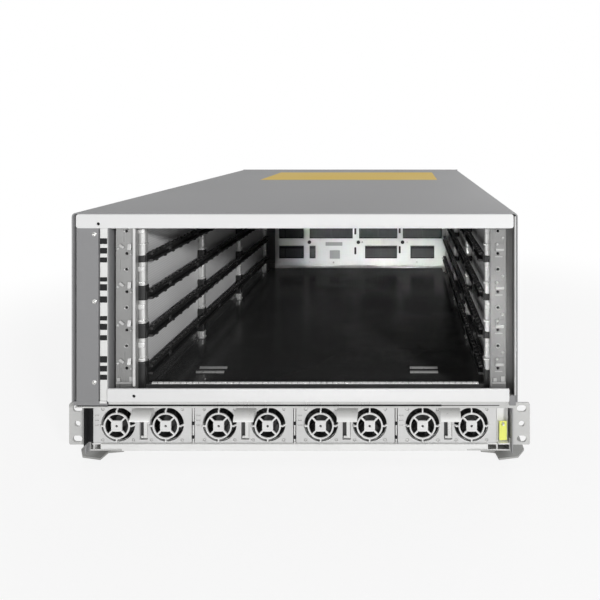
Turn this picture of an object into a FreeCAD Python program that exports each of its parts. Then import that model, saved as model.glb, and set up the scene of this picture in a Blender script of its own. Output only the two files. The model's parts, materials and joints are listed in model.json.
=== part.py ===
"""Aggregation router: an empty six-unit rack chassis with four horizontal card slots, a fan tray in the
left plenum, an air filter in the right plenum and four hot-swap power supplies in a tray below the cage.

Millimetres, +Z up. X runs to the right seen from the front, the front bezel is at -Y, and the origin is
at the middle of the footprint. A distance d is measured back from the front plane.
"""
import FreeCAD
import Part
import math
import os

# Overall envelope
BODY_W = 446.3
BODY_D = 635.5
BODY_H = 263.65
SHEET = 1.5
FIT = 0.3
BEND_R = 4.0
TOP_SKIRT = 16.0
PAN_FLANGE = 12.0
PULL_D = 12.0

# Support rails under the base pan
RAIL_H = 9.0
RAIL_T = 2.0
RAIL_REACH = 16.0
RAIL_FOOT_W = 30.0
RAIL_SHELF_W = 21.0
RAIL_START = 46.0
RAIL_END = 600.0
TOE_L = 18.0
TOE_BAR_L = 17.0
TOE_BAR_W = 5.0

# Front bezels and the left front panel
EDGE = 4.15
BEZEL_D = 9.0
BEZEL_R = 1.5
TOP_BEZEL_H = 14.15
LOWER_BEZEL_Z = 74.4
LOWER_BEZEL_H = 13.0
LOWER_BEZEL_D = 2.5
APRON_H = 6.0
LOWER_BEZEL_R = 8.35
FRONT_PANEL_W = 22.0
FRONT_PANEL_SET = 1.0
STRIP_W = 7.3
STRIP_T = 1.5
STRIP_GAP = 1.0
FRONT_FOLD_D = 18.0
NOTCH_D = 24.0
NOTCH_H = 12.0
PANEL_SCREW_R = 1.6
PANEL_SCREW_HEAD_R = 2.6
PANEL_SCREW_HEAD_T = 0.9
PANEL_SCREW_INSET = 4.0
PANEL_SCREW_LOW = 93.5
PANEL_SCREW_TOP_GAP = 6.0
PANEL_SCREW_MID = 0.5455

# Card cage
LEFT_PLENUM = 59.15
RIGHT_PLENUM = 22.65
SLOT_BASE = 24.0
SLOTS = 4
CAGE_HEADROOM = 4.0
CAGE_ROOF_GAP = 8.55
CAGE_FRONT = 14.0
BACKPLANE_AT = 545.0
SCREEN_T = 1.0
POST_W = 8.0
POST_L = 9.0
POST_R = 2.5
POSTS = 4
POST_FIRST = 17.0
POST_LAST_GAP = 5.0
TIE_H = 3.0
GUIDE_W = 6.5
GUIDE_H = 9.0
GUIDE_Z = 4.6
GUIDE_TAIL_GAP = 11.0
GROOVE_W = 2.6
GROOVE_D = 4.0
GUIDE_NOTCHES = 5
NOTCH_L = 22.0
GUIDE_NOTCH_D = 2.2
FLANGE_AT = 10.0
FLANGE_LIP = 5.0
LEFT_FLANGE_SET = 3.7
LEFT_FLANGE_W = 22.5
RIGHT_FLANGE_W = 16.5
FLANGE_FOLD = 10.0
FLANGE_HOLE_R = 1.5
FLANGE_HOLE_LOW = 10.0
FLANGE_HOLE_TOP_GAP = 5.9
HOLE_SIDES = 8
LATCH_SLOT_W = 3.0
LATCH_SLOT_H = 6.0
LATCH_SLOT_Z = 17.0
SILL_H = 16.0
SILL_D = 6.0
LANCE_L = 32.0
LANCE_W = 1.6
LANCE_H = 1.2
LANCE_AT = (80.0, 92.0)
LANCE_SHARES = (0.145, 0.813)
GASKET_D = 4.0
GASKET_H = 2.4
GASKET_BASE = 0.4
FINGER_L = 19.0
FINGER_GAP = 1.0
FINGER_SLOPE = 1.2

# Backplane
BOARD_GAP = 2.0
BOARD_T = 3.0
STANDOFF_R = 3.0
PANEL_GAP_L = 24.0
PANEL_GAP_R = 7.0
WINDOW_Z = 1.5
WINDOW_RIB = 13.9
CONNECTOR_D = 8.0
CONNECTOR_MARGIN = 1.2
UPPER_SHARES = ((0.0867, 0.2198), (0.25, 0.4815), (0.515, 0.7202), (0.7492, 0.9588))
BOTTOM_SHARES = ((0.0867, 0.2198), (0.25, 0.2823), (0.5471, 0.7185), (0.7901, 0.918))

# Power tray and its four supplies
TRAY_SHIFT = -4.9
TRAY_FRONT = 26.0
TRAY_SHEET = 1.2
LIP_T = 2.0
LIP_SIDE = 11.0
LIP_Z = 12.0
LIP_STEP = 2.0
LIP_STEP_L = 22.0
SUPPLIES = 4
TRAY_MARGIN = 21.9
SUPPLY_GAP = 2.9
SUPPLY_H = 38.4
SUPPLY_Z = 19.2
SUPPLY_D = 336.0
FACE_T = 4.0
FAN_CROWD = 0.75
FAN_R = 17.8
FAN_POCKET = 26.0
RING_R = 13.75
RING_W = 1.75
RING_PROUD = 3.5
SPOKES = 4
SPOKE_W = 1.6
GUARD_HUB_R = 6.0
GUARD_HUB_SIDES = 8
FAN_SIDES = 16
HUB_SIDES = 8
GUARD_T = 2.0
STATOR_R = 6.0
ROTOR_HUB_R = 7.0
ROTOR_R = 16.8
ROTOR_L = 11.0
ROTOR_SET = 4.0
BLADES = 5
BLADE_T = 0.9
BLADE_PITCH = 38.0
HANDLE_SHIFT = 3.0
HANDLE_ARM_W = 4.0
HANDLE_ARM_T = 3.0
HANDLE_PIVOT_Z = 5.5
HANDLE_PIN_R = 1.2
HANDLE_PIN_L = 3.0
GRIP_W = 21.0
GRIP_H = 7.0
GRIP_REACH = 14.0
GRIP_TOP = 37.5
GRIP_R = 1.5
PLUG_W = 60.0
PLUG_H = 14.0
PLUG_L = 16.0

# Rack ears and the hanging tag
EAR_REACH = 18.15
EAR_H = 43.6
EAR_Z = 17.0
EAR_AT = 27.0
EAR_T = 2.5
EAR_FOLD = 40.0
RACK_HOLE_INSET = 8.75
RACK_PITCH = 31.75
RACK_SLOT_R = 3.5
RACK_SLOT_L = 10.0
RACK_MID_R = 3.0
EAR_R = 2.0
TAG_W = 8.0
TAG_H = 20.0
TAG_T = 1.0
TAG_Z = 20.0
TAG_HOLE_R = 1.6
HOOK_R = 1.1
HOOK_L = 4.0

# Fan tray in the left plenum and air filter in the right one
BAY_Z = 68.5
FAN_TRAY_W = 40.0
FAN_TRAY_TOP_GAP = 1.65
FAN_TRAY_FRONT = 26.0
TRAY_FANS = 4
TRAY_FAN_RIM = 20.0
TRAY_FAN_WEB = 6.5
TRAY_HUB_R = 26.0
TRAY_BLADES = 5
TRAY_BLADE_T = 1.5
TRAY_TIP_GAP = 4.0
MOTOR_BAR_W = 12.0
MOTOR_BAR_T = 6.0
TRAY_PULL_H = 70.0
PULL_W = 10.0
PULL_T = 4.0
PULL_R = 5.0
FILTER_T = 16.0
FILTER_FRONT = 26.0
FILTER_RIM = 8.0
FILTER_MEDIA_T = 8.0
FILTER_PULL_H = 30.0

# Vents in the side panels
VENT_ROWS = 2
VENT_COLUMNS = 12
VENT_W = 10.0
VENT_RIB = 14.0
VENT_PITCH_Y = 46.0
VENT_FRONT = 46.0
VENT_Z = 96.0

# Rear inlets and switch
INLET_W = 48.0
INLET_H = 28.0
INLET_D = 26.0
INLET_FLANGE = 3.0
INLET_WALL = 3.0
INLET_POCKET = 20.0
INLET_Z = 36.0
PINS = 3
PIN_PITCH = 9.0
PIN_T = 2.0
PIN_H = 7.0
PIN_L = 8.0
SWITCH_W = 14.0
SWITCH_H = 24.0
SWITCH_INSET = 33.15
SWITCH_D = 10.0
SWITCH_PROUD = 3.0
SWITCH_GAP = 0.8
SWITCH_TILT = 8.0
REAR_VENTS = 10
REAR_VENT_W = 6.0
REAR_VENT_H = 60.0
REAR_VENT_PITCH = 22.0
REAR_VENT_Z = 140.0

# Stations worked out from the sizes above
FRONT = -BODY_D / 2
SHELL_D = BODY_D - PULL_D
REAR_AT = SHELL_D - SHEET
HALF_W = BODY_W / 2
PAN_TOP = RAIL_H + SHEET
CAGE_L = -HALF_W + LEFT_PLENUM
CAGE_R = HALF_W - RIGHT_PLENUM
CAGE_W = CAGE_R - CAGE_L
CAGE_Z = BAY_Z + SHEET
CAGE_TOP = BODY_H - SHEET - CAGE_ROOF_GAP
SLOT_Z = CAGE_Z + SLOT_BASE
SLOT_PITCH = (CAGE_TOP - CAGE_HEADROOM - SLOT_Z) / SLOTS
WINDOW_H = SLOT_PITCH - WINDOW_RIB
FLANGE_HOLE_Z = (FLANGE_HOLE_LOW, SLOT_PITCH - FLANGE_HOLE_TOP_GAP)
GUIDE_END = BACKPLANE_AT - GUIDE_TAIL_GAP
POST_LAST = BACKPLANE_AT - POST_LAST_GAP
POST_AT = [POST_FIRST + (POST_LAST - POST_FIRST) * k / (POSTS - 1) for k in range(POSTS)]
SILL_Z = CAGE_Z + SILL_H
PANEL_X = (CAGE_L + PANEL_GAP_L, CAGE_R - PANEL_GAP_R)
BEZEL_Z = BODY_H - SHEET - TOP_BEZEL_H
SIDE_TOP = BODY_H - TOP_SKIRT
PANEL_SCREW_HIGH = BEZEL_Z - PANEL_SCREW_TOP_GAP
PANEL_SCREW_RUN = PANEL_SCREW_HIGH - PANEL_SCREW_LOW
PANEL_SCREW_Z = (PANEL_SCREW_LOW, PANEL_SCREW_LOW + PANEL_SCREW_MID * PANEL_SCREW_RUN, PANEL_SCREW_HIGH)
VENT_PITCH_Z = (SIDE_TOP - VENT_Z) / VENT_ROWS
VENT_H = VENT_PITCH_Z - VENT_RIB
FAN_TRAY_TOP = SIDE_TOP - FAN_TRAY_TOP_GAP
TRAY_FAN_PITCH = (REAR_AT - FAN_TRAY_FRONT) / TRAY_FANS
TRAY_FAN_R = min((FAN_TRAY_TOP - BAY_Z) / 2 - TRAY_FAN_RIM, TRAY_FAN_PITCH / 2 - TRAY_FAN_WEB)
EAR_SPAN = BODY_W + 2 * EAR_REACH
RACK_HOLES = EAR_SPAN - 2 * RACK_HOLE_INSET
SWITCH_X = HALF_W - SWITCH_INSET
PANEL_L = -HALF_W + EDGE
PANEL_R = PANEL_L + FRONT_PANEL_W
STRIP_L = PANEL_R + STRIP_GAP
STRIP_R = STRIP_L + STRIP_W
STRIP_BACK = FRONT_PANEL_SET + SHEET + STRIP_T
FOLD_X = STRIP_R + STRIP_GAP
SUPPLY_PITCH = (BODY_W - TRAY_MARGIN) / SUPPLIES
SUPPLY_W = SUPPLY_PITCH - SUPPLY_GAP
FAN_PITCH = SUPPLY_W / 2 - FAN_CROWD
SUPPLY_TOP = SUPPLY_Z + SUPPLY_H
FAN_Z = SUPPLY_Z + SUPPLY_H / 2
CASE_FRONT = TRAY_FRONT + FACE_T
TRAY_FLOOR_TOP = SUPPLY_Z - FIT
TRAY_ROOF = SUPPLY_TOP + FIT
SUPPLY_BACK = CASE_FRONT + SUPPLY_D
TRAY_BACK = SUPPLY_BACK + PLUG_L + FIT
INNER_W = HALF_W - 2 * SHEET
HANDLE_Z = SUPPLY_Z + HANDLE_PIVOT_Z
HANDLE_AT = TRAY_FRONT + FACE_T / 2
X_AXIS = FreeCAD.Vector(1, 0, 0)
Y_AXIS = FreeCAD.Vector(0, 1, 0)
Z_AXIS = FreeCAD.Vector(0, 0, 1)


def box(x0, x1, d0, d1, z0, z1):
    """A block between two X, two depths behind the front plane and two heights."""
    corner = FreeCAD.Vector(x0, FRONT + d0, z0)
    return Part.makeBox(x1 - x0, d1 - d0, z1 - z0, corner)


def rod_y(x, z, radius, d0, d1):
    """A cylinder along the depth."""
    return Part.makeCylinder(radius, d1 - d0, FreeCAD.Vector(x, FRONT + d0, z), Y_AXIS)


def prism(points, vector):
    """A closed polygon pushed along a vector."""
    loop = [FreeCAD.Vector(*point) for point in points]
    face = Part.Face(Part.makePolygon(loop + loop[:1]))
    return face.extrude(vector)


def plan(points, z0, z1):
    """A polygon of (x, d) points pushed up from z0 to z1."""
    return prism([(x, FRONT + d, z0) for x, d in points], FreeCAD.Vector(0, 0, z1 - z0))


def elevation(points, d0, d1):
    """A polygon of (x, z) points pushed back from d0 to d1."""
    return prism([(x, FRONT + d0, z) for x, z in points], FreeCAD.Vector(0, d1 - d0, 0))


def side_view(points, x0, x1):
    """A polygon of (d, z) points pushed across from x0 to x1."""
    return prism([(x0, FRONT + d, z) for d, z in points], FreeCAD.Vector(x1 - x0, 0, 0))


def ring_points(u, v, radius, sides):
    """Corners of a regular polygon, flat side up."""
    turns = [2 * math.pi * (k + 0.5) / sides for k in range(sides)]
    return [(u + radius * math.cos(turn), v + radius * math.sin(turn)) for turn in turns]


def facet_rod_y(x, z, radius, sides, d0, d1):
    """A many-sided rod along the depth."""
    return elevation(ring_points(x, z, radius, sides), d0, d1)


def facet_rod_x(d, z, radius, sides, x0, x1):
    """A many-sided rod across the width."""
    return side_view(ring_points(d, z, radius, sides), x0, x1)


def join(shapes):
    """One solid from shapes that touch or overlap."""
    whole = shapes[0].fuse(shapes[1:])
    return whole.removeSplitter()


def edges_along(shape, axis, test):
    """Straight edges parallel to an axis whose middle passes a test."""
    found = []
    for edge in shape.Edges:
        span = edge.Vertexes[-1].Point - edge.Vertexes[0].Point
        if span.Length > FIT and span.normalize().cross(axis).Length < 1e-6 and test(edge.CenterOfMass):
            found.append(edge)
    return found


def mirror(shape):
    """The same shape on the other side of the middle plane."""
    return shape.mirror(FreeCAD.Vector(0, 0, 0), X_AXIS)


def across_cage(share):
    """X at a share of the way across the cage, from its left wall."""
    return CAGE_L + share * CAGE_W


def slot_levels():
    """Heights of the card slots' floors."""
    return [SLOT_Z + SLOT_PITCH * k for k in range(SLOTS)]


# Casing

def top_cover():
    """A folded lid with rounded side bends and short skirts."""
    outer = box(-HALF_W, HALF_W, 0, REAR_AT, SIDE_TOP, BODY_H)
    inner = box(-HALF_W + SHEET, HALF_W - SHEET, 0, REAR_AT, SIDE_TOP, BODY_H - SHEET)
    upper = edges_along(outer, Y_AXIS, lambda p: p.z > BODY_H - FIT)
    under = edges_along(inner, Y_AXIS, lambda p: p.z > BODY_H - SHEET - FIT)
    return outer.makeFillet(BEND_R, upper).cut(inner.makeFillet(BEND_R - SHEET, under))


def vent_slots(x0, x1):
    """The upright slots of one side panel, in rows and columns."""
    cuts = []
    for row in range(VENT_ROWS):
        z = VENT_Z + VENT_PITCH_Z * row
        for column in range(VENT_COLUMNS):
            d = VENT_FRONT + VENT_PITCH_Y * column
            cuts.append(box(x0, x1, d, d + VENT_W, z, z + VENT_H))
    return cuts


def left_side_panel():
    """A flat side with a notched lower front corner and exhaust slots."""
    outline = [
        (0, SIDE_TOP),
        (0, LOWER_BEZEL_Z),
        (NOTCH_D, LOWER_BEZEL_Z - NOTCH_H),
        (NOTCH_D, RAIL_H),
        (REAR_AT, RAIL_H),
        (REAR_AT, SIDE_TOP),
    ]
    panel = side_view(outline, -HALF_W, -HALF_W + SHEET)
    return panel.cut(vent_slots(-HALF_W - SHEET, -HALF_W + 2 * SHEET))


def base_pan():
    """The floor of the chassis, with its sides turned up inside the side panels."""
    outer = box(-HALF_W + SHEET, HALF_W - SHEET, CASE_FRONT, REAR_AT, RAIL_H, PAN_TOP + PAN_FLANGE)
    inner = box(-INNER_W, INNER_W, 0, REAR_AT, PAN_TOP, PAN_TOP + PAN_FLANGE)
    return outer.cut(inner)


def support_rails():
    """Two Z-section rails that carry the pan, each with a splayed toe at the front."""
    foot_x = -HALF_W - RAIL_REACH
    web_x = foot_x + RAIL_FOOT_W
    toe_d = RAIL_START - TOE_L
    foot = [
        (foot_x, RAIL_START),
        (foot_x + TOE_L / 2, toe_d + TOE_L / 4),
        (web_x, toe_d),
        (web_x + RAIL_T, RAIL_START - TOE_BAR_W),
        (web_x + TOE_BAR_L, RAIL_START - TOE_BAR_W / 2),
        (web_x + TOE_BAR_L, RAIL_START + TOE_BAR_W / 2),
        (web_x, RAIL_START + TOE_BAR_W),
        (web_x, RAIL_END),
        (foot_x, RAIL_END),
    ]
    rail = join([
        plan(foot, 0, RAIL_T),
        box(web_x - RAIL_T, web_x, RAIL_START, RAIL_END, 0, RAIL_H),
        box(web_x - RAIL_T, web_x + RAIL_SHELF_W, RAIL_START, RAIL_END, RAIL_H - RAIL_T, RAIL_H),
    ])
    return Part.makeCompound([rail, mirror(rail)])


def fan_bay():
    """X limits of the fan tray."""
    left = -HALF_W + SHEET + FIT
    return left, left + FAN_TRAY_W


def filter_bay():
    """X limits of the air filter."""
    right = HALF_W - SHEET - FIT
    return right - FILTER_T, right


def supply_x():
    """Middles of the supplies, and of the inlets behind them."""
    return [TRAY_SHIFT + SUPPLY_PITCH * (k - (SUPPLIES - 1) / 2) for k in range(SUPPLIES)]


def mid_shelf():
    """The deck between the supplies and the cage, with an apron that backs the lower bezel."""
    half = HALF_W - SHEET
    front = LOWER_BEZEL_D
    deck = box(-half, half, front, REAR_AT, BAY_Z - SHEET, BAY_Z)
    apron = box(FOLD_X, half, front, front + SHEET, BAY_Z - SHEET, LOWER_BEZEL_Z + APRON_H)
    return join([deck, apron])


def rear_panel():
    """The back wall, open for the fan tray, the air filter, the inlets and the switch."""
    wall = box(-HALF_W, HALF_W, REAR_AT, SHELL_D, RAIL_H, BODY_H)
    fan_l, fan_r = fan_bay()
    filter_l, filter_r = filter_bay()
    switch_x = SWITCH_W / 2 + SWITCH_GAP
    switch_z = SWITCH_H / 2 + SWITCH_GAP
    inlet_half_w = INLET_W / 2 - INLET_FLANGE
    inlet_half_h = INLET_H / 2 - INLET_FLANGE
    holes = [
        (fan_l - FIT, fan_r + FIT, BAY_Z, FAN_TRAY_TOP + FIT),
        (filter_l - FIT, filter_r + FIT, BAY_Z, FAN_TRAY_TOP + FIT),
        (SWITCH_X - switch_x, SWITCH_X + switch_x, INLET_Z - switch_z, INLET_Z + switch_z),
    ]
    for x in supply_x():
        holes.append((x - inlet_half_w, x + inlet_half_w, INLET_Z - inlet_half_h, INLET_Z + inlet_half_h))
    for k in range(REAR_VENTS):
        x = REAR_VENT_PITCH * (k - (REAR_VENTS - 1) / 2)
        holes.append((x - REAR_VENT_W / 2, x + REAR_VENT_W / 2, REAR_VENT_Z, REAR_VENT_Z + REAR_VENT_H))
    return wall.cut([box(x0, x1, REAR_AT, SHELL_D, z0, z1) for x0, x1, z0, z1 in holes])


# Front trim

def top_bezel():
    """The bar across the top of the front, with rounded upper corners."""
    bar = box(PANEL_L, -PANEL_L, 0, BEZEL_D, BEZEL_Z, BODY_H - SHEET)
    upper = edges_along(bar, Y_AXIS, lambda p: p.z > BODY_H - SHEET - FIT)
    return bar.makeFillet(BEZEL_R, upper)


def lower_bezel():
    """The bar below the card cage."""
    top = LOWER_BEZEL_Z + LOWER_BEZEL_H
    bar = box(FOLD_X, HALF_W - LOWER_BEZEL_R, 0, LOWER_BEZEL_D, LOWER_BEZEL_Z, top)
    ends = edges_along(bar, Y_AXIS, lambda p: True)
    return bar.makeFillet(BEZEL_R, ends)


def left_front_panel():
    """A folded panel: its face, a step back under the label strip and a fold into the chassis."""
    step = STRIP_BACK
    front = FRONT_PANEL_SET
    section = [
        (PANEL_L, front),
        (PANEL_R, front),
        (PANEL_R, step),
        (FOLD_X, step),
        (FOLD_X, FRONT_FOLD_D),
        (FOLD_X - SHEET, FRONT_FOLD_D),
        (FOLD_X - SHEET, step + SHEET),
        (PANEL_R - SHEET, step + SHEET),
        (PANEL_R - SHEET, front + SHEET),
        (PANEL_L + SHEET, front + SHEET),
        (PANEL_L + SHEET, FRONT_FOLD_D),
        (PANEL_L, FRONT_FOLD_D),
    ]
    panel = plan(section, LOWER_BEZEL_Z, BEZEL_Z)
    x = PANEL_R - PANEL_SCREW_INSET
    holes = [facet_rod_y(x, z, PANEL_SCREW_R, HOLE_SIDES, front, front + SHEET) for z in PANEL_SCREW_Z]
    return panel.cut(holes)


def slot_label_strip():
    """A flat strip beside the slots, seated on the panel's step."""
    return box(STRIP_L, STRIP_R, STRIP_BACK - STRIP_T, STRIP_BACK, LOWER_BEZEL_Z, BEZEL_Z)


def panel_screws():
    """Pan heads with shanks through the left front panel."""
    x = PANEL_R - PANEL_SCREW_INSET
    face = FRONT_PANEL_SET
    screws = []
    for z in PANEL_SCREW_Z:
        head = facet_rod_y(x, z, PANEL_SCREW_HEAD_R, HOLE_SIDES, face - PANEL_SCREW_HEAD_T, face)
        shank = facet_rod_y(x, z, PANEL_SCREW_R - FIT, HOLE_SIDES, face, face + 2 * SHEET)
        screws.append(join([head, shank]))
    return Part.makeCompound(screws)


# Card cage

def cage_flange(x0, x1, lip_x0, fold_x0):
    """A plated upright beside the slots: a face, a forward lip and a fold back, pierced at each slot."""
    face = box(x0, x1, FLANGE_AT, FLANGE_AT + SHEET, BAY_Z, BEZEL_Z)
    lip = box(lip_x0, lip_x0 + SHEET, FLANGE_LIP, FLANGE_AT + SHEET, BAY_Z, BEZEL_Z)
    fold = box(fold_x0, fold_x0 + SHEET, FLANGE_AT, FLANGE_AT + FLANGE_FOLD, BAY_Z, BEZEL_Z)
    middle = (x0 + x1) / 2
    d0 = FLANGE_AT - SHEET
    d1 = FLANGE_AT + 2 * SHEET
    cuts = []
    for level in slot_levels():
        for z in FLANGE_HOLE_Z:
            cuts.append(facet_rod_y(middle, level + z, FLANGE_HOLE_R, HOLE_SIDES, d0, d1))
        z = level + LATCH_SLOT_Z
        slot_x = middle + FLANGE_HOLE_R
        cuts.append(box(slot_x, slot_x + LATCH_SLOT_W, d0, d1, z - LATCH_SLOT_H / 2, z + LATCH_SLOT_H / 2))
    return join([face, lip, fold]).cut(cuts)


def left_cage_flange():
    """The upright between the label strip and the slots."""
    x0 = FOLD_X + LEFT_FLANGE_SET
    x1 = x0 + LEFT_FLANGE_W
    return cage_flange(x0, x1, x1 - SHEET, x0)


def right_cage_flange():
    """The upright between the slots and the right side, with a return sheet set back beside it."""
    x0 = CAGE_R - POST_W / 2
    x1 = x0 + RIGHT_FLANGE_W
    d1 = FLANGE_AT + FLANGE_FOLD
    back = box(x1 - SHEET, HALF_W - SHEET, d1 - SHEET, d1, BAY_Z, BEZEL_Z)
    return join([cage_flange(x0, x1, x0, x1 - SHEET), back])


def guide_frame():
    """Rounded posts on the left wall, tied along the floor and the roof."""
    pieces = []
    for d in POST_AT:
        post = box(CAGE_L, CAGE_L + POST_W, d - POST_L / 2, d + POST_L / 2, CAGE_Z, CAGE_TOP)
        inner = edges_along(post, Z_AXIS, lambda p: p.x > CAGE_L + POST_W - FIT)
        pieces.append(post.makeFillet(POST_R, inner))
    for z in (CAGE_Z, CAGE_TOP - TIE_H):
        pieces.append(box(CAGE_L, CAGE_L + SHEET, POST_AT[0], GUIDE_END, z, z + TIE_H))
    return join(pieces)


def to_right_wall(shape):
    """A left wall piece turned round to face it from the right wall."""
    return shape.mirror(FreeCAD.Vector((CAGE_L + CAGE_R) / 2, 0, 0), X_AXIS)


def card_guide(level):
    """A moulded channel on the left posts, grooved for a card's edge, with clip notches along its top."""
    x0 = CAGE_L + POST_W
    x1 = x0 + GUIDE_W
    z0 = level + GUIDE_Z - GUIDE_H / 2
    bar = box(x0, x1, CAGE_FRONT, GUIDE_END, z0, z0 + GUIDE_H)
    lead = edges_along(bar, Z_AXIS, lambda p: p.x > x1 - FIT and p.y < 0)
    bar = bar.makeChamfer(GUIDE_W / 2, lead)
    middle = z0 + GUIDE_H / 2
    cuts = [box(x1 - GROOVE_D, x1, CAGE_FRONT, GUIDE_END, middle - GROOVE_W / 2, middle + GROOVE_W / 2)]
    pitch = (GUIDE_END - CAGE_FRONT) / GUIDE_NOTCHES
    for k in range(GUIDE_NOTCHES):
        d = CAGE_FRONT + pitch * (k + 0.5)
        cuts.append(box(x1 - GROOVE_D, x1, d, d + NOTCH_L, z0 + GUIDE_H - GUIDE_NOTCH_D, z0 + GUIDE_H))
    return bar.cut(cuts)


def card_guides():
    """One guide at the foot of each slot."""
    return Part.makeCompound([card_guide(level) for level in slot_levels()])


def left_air_screen():
    """The pierced sheet between the cage and the fan plenum."""
    return box(CAGE_L - SCREEN_T, CAGE_L, CAGE_FRONT, BACKPLANE_AT, BAY_Z, CAGE_TOP)


def cage_floor():
    """The dark floor of the cage with a folded front sill and two lanced ribs at each side."""
    x0 = CAGE_L + POST_W
    x1 = CAGE_R - POST_W
    pieces = [
        box(CAGE_L, CAGE_R, CAGE_FRONT, BACKPLANE_AT, CAGE_Z - SHEET, CAGE_Z),
        box(x0, x1, CAGE_FRONT, CAGE_FRONT + SHEET, CAGE_Z, SILL_Z),
        box(x0, x1, CAGE_FRONT, CAGE_FRONT + SILL_D, SILL_Z - SHEET, SILL_Z),
    ]
    for share in LANCE_SHARES:
        x = across_cage(share)
        for d in LANCE_AT:
            pieces.append(box(x - LANCE_L / 2, x + LANCE_L / 2, d, d + LANCE_W, CAGE_Z, CAGE_Z + LANCE_H))
    return join(pieces)


def cage_roof():
    """The sheet over the card cage."""
    return box(CAGE_L - SCREEN_T, CAGE_R + SCREEN_T, BEZEL_D, BACKPLANE_AT, CAGE_TOP, CAGE_TOP + SHEET)


def emi_gasket():
    """A spring strip of arched fingers along the top of the sill."""
    x0 = CAGE_L + POST_W + GUIDE_W
    x1 = CAGE_R - POST_W - GUIDE_W
    d0 = CAGE_FRONT
    pieces = [box(x0, x1, d0, d0 + GASKET_D, SILL_Z, SILL_Z + GASKET_BASE)]
    count = int((x1 - x0 + FINGER_GAP) // (FINGER_L + FINGER_GAP))
    arch = [
        (d0, SILL_Z),
        (d0 + GASKET_D, SILL_Z),
        (d0 + GASKET_D - FINGER_SLOPE, SILL_Z + GASKET_H),
        (d0 + FINGER_SLOPE, SILL_Z + GASKET_H),
    ]
    for k in range(count):
        x = x0 + (FINGER_L + FINGER_GAP) * k
        pieces.append(side_view(arch, x, x + FINGER_L))
    return join(pieces)


# Backplane

def windows():
    """Window limits (x0, x1, z0, z1), the lowest slot having its own set."""
    found = []
    for k, level in enumerate(slot_levels()):
        row = BOTTOM_SHARES if k == 0 else UPPER_SHARES
        z0 = level + WINDOW_Z
        for left, right in row:
            found.append((across_cage(left), across_cage(right), z0, z0 + WINDOW_H))
    return found


def backplane_panel():
    """A plated sheet at the back of the cage, windowed for each connector."""
    d0 = BACKPLANE_AT
    d1 = d0 + SHEET
    sheet = box(*PANEL_X, d0, d1, BAY_Z, CAGE_TOP)
    return sheet.cut([box(x0, x1, d0, d1, z0, z1) for x0, x1, z0, z1 in windows()])


def backplane_board():
    """The circuit board behind the windowed sheet, on standoffs between the windows."""
    d0 = BACKPLANE_AT + SHEET + BOARD_GAP
    pieces = [box(*PANEL_X, d0, d0 + BOARD_T, BAY_Z, CAGE_TOP)]
    levels = slot_levels()
    for left, right in zip(UPPER_SHARES, UPPER_SHARES[1:]):
        x = across_cage((left[1] + right[0]) / 2)
        for level in (levels[0], levels[-1]):
            z = level + WINDOW_Z / 2
            pieces.append(facet_rod_y(x, z, STANDOFF_R, HOLE_SIDES, d0 - BOARD_GAP, d0))
    return join(pieces)


def backplane_connectors():
    """A header in each window, seated on the board."""
    d1 = BACKPLANE_AT + SHEET + BOARD_GAP
    d0 = d1 - CONNECTOR_D
    gap = CONNECTOR_MARGIN
    headers = []
    for x0, x1, z0, z1 in windows():
        headers.append(box(x0 + gap, x1 - gap, d0, d1, z0 + gap, z1 - gap))
    return Part.makeCompound(headers)


# Power tray and supplies

def power_tray():
    """An open-fronted tray of welded sheets, with dividers, a stepped lip and the tag's hook."""
    middles = supply_x()
    side = SUPPLY_PITCH / 2 + TRAY_SHEET / 2
    x0 = middles[0] - side
    x1 = middles[-1] + side
    floor_z = TRAY_FLOOR_TOP - TRAY_SHEET
    roof_z = TRAY_ROOF + TRAY_SHEET
    inner_l = x0 + TRAY_SHEET
    inner_r = x1 - TRAY_SHEET
    pieces = [
        box(inner_l, inner_r, TRAY_FRONT, TRAY_BACK, floor_z, TRAY_FLOOR_TOP),
        box(inner_l, inner_r, CASE_FRONT, TRAY_BACK, TRAY_ROOF, roof_z),
        box(x0, x1, TRAY_BACK, TRAY_BACK + TRAY_SHEET, PAN_TOP, roof_z),
        box(x0, inner_l, CASE_FRONT, TRAY_BACK, PAN_TOP, roof_z),
        box(inner_r, x1, CASE_FRONT, TRAY_BACK, PAN_TOP, roof_z),
    ]
    for x in middles[1:]:
        wall_x = x - SUPPLY_PITCH / 2
        pieces.append(box(wall_x - TRAY_SHEET / 2, wall_x + TRAY_SHEET / 2, TRAY_FRONT, TRAY_BACK,
                          TRAY_FLOOR_TOP, TRAY_ROOF))
    lip_l = x0 + LIP_SIDE
    lip_r = x1 - LIP_SIDE
    lip = [
        (lip_l, TRAY_FLOOR_TOP),
        (lip_l, LIP_Z + LIP_STEP),
        (lip_l + LIP_STEP_L, LIP_Z + LIP_STEP),
        (lip_l + LIP_STEP_L, LIP_Z),
        (lip_r - LIP_STEP_L, LIP_Z),
        (lip_r - LIP_STEP_L, LIP_Z + LIP_STEP),
        (lip_r, LIP_Z + LIP_STEP),
        (lip_r, TRAY_FLOOR_TOP),
    ]
    pieces.append(elevation(lip, TRAY_FRONT - LIP_T, TRAY_FRONT))
    plate_d = CASE_FRONT + TAG_T
    wall_d = plate_d + HOOK_L
    wall_r = INNER_W - FIT
    hook_z = TAG_Z + TAG_H - TAG_HOLE_R - TAG_T
    tag_x = tag_middle()
    pieces += [
        box(x1, wall_r, TRAY_FRONT, wall_d, floor_z, TRAY_FLOOR_TOP),
        box(x1, wall_r, wall_d, wall_d + TRAY_SHEET, floor_z, TRAY_ROOF),
        facet_rod_y(tag_x, hook_z, HOOK_R, HOLE_SIDES, plate_d - HOOK_L, wall_d),
    ]
    return Part.makeCompound(pieces)


def tag_middle():
    """X of the tag, in the gap beside the last supply."""
    return (supply_x()[-1] + SUPPLY_PITCH / 2 + INNER_W) / 2


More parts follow.
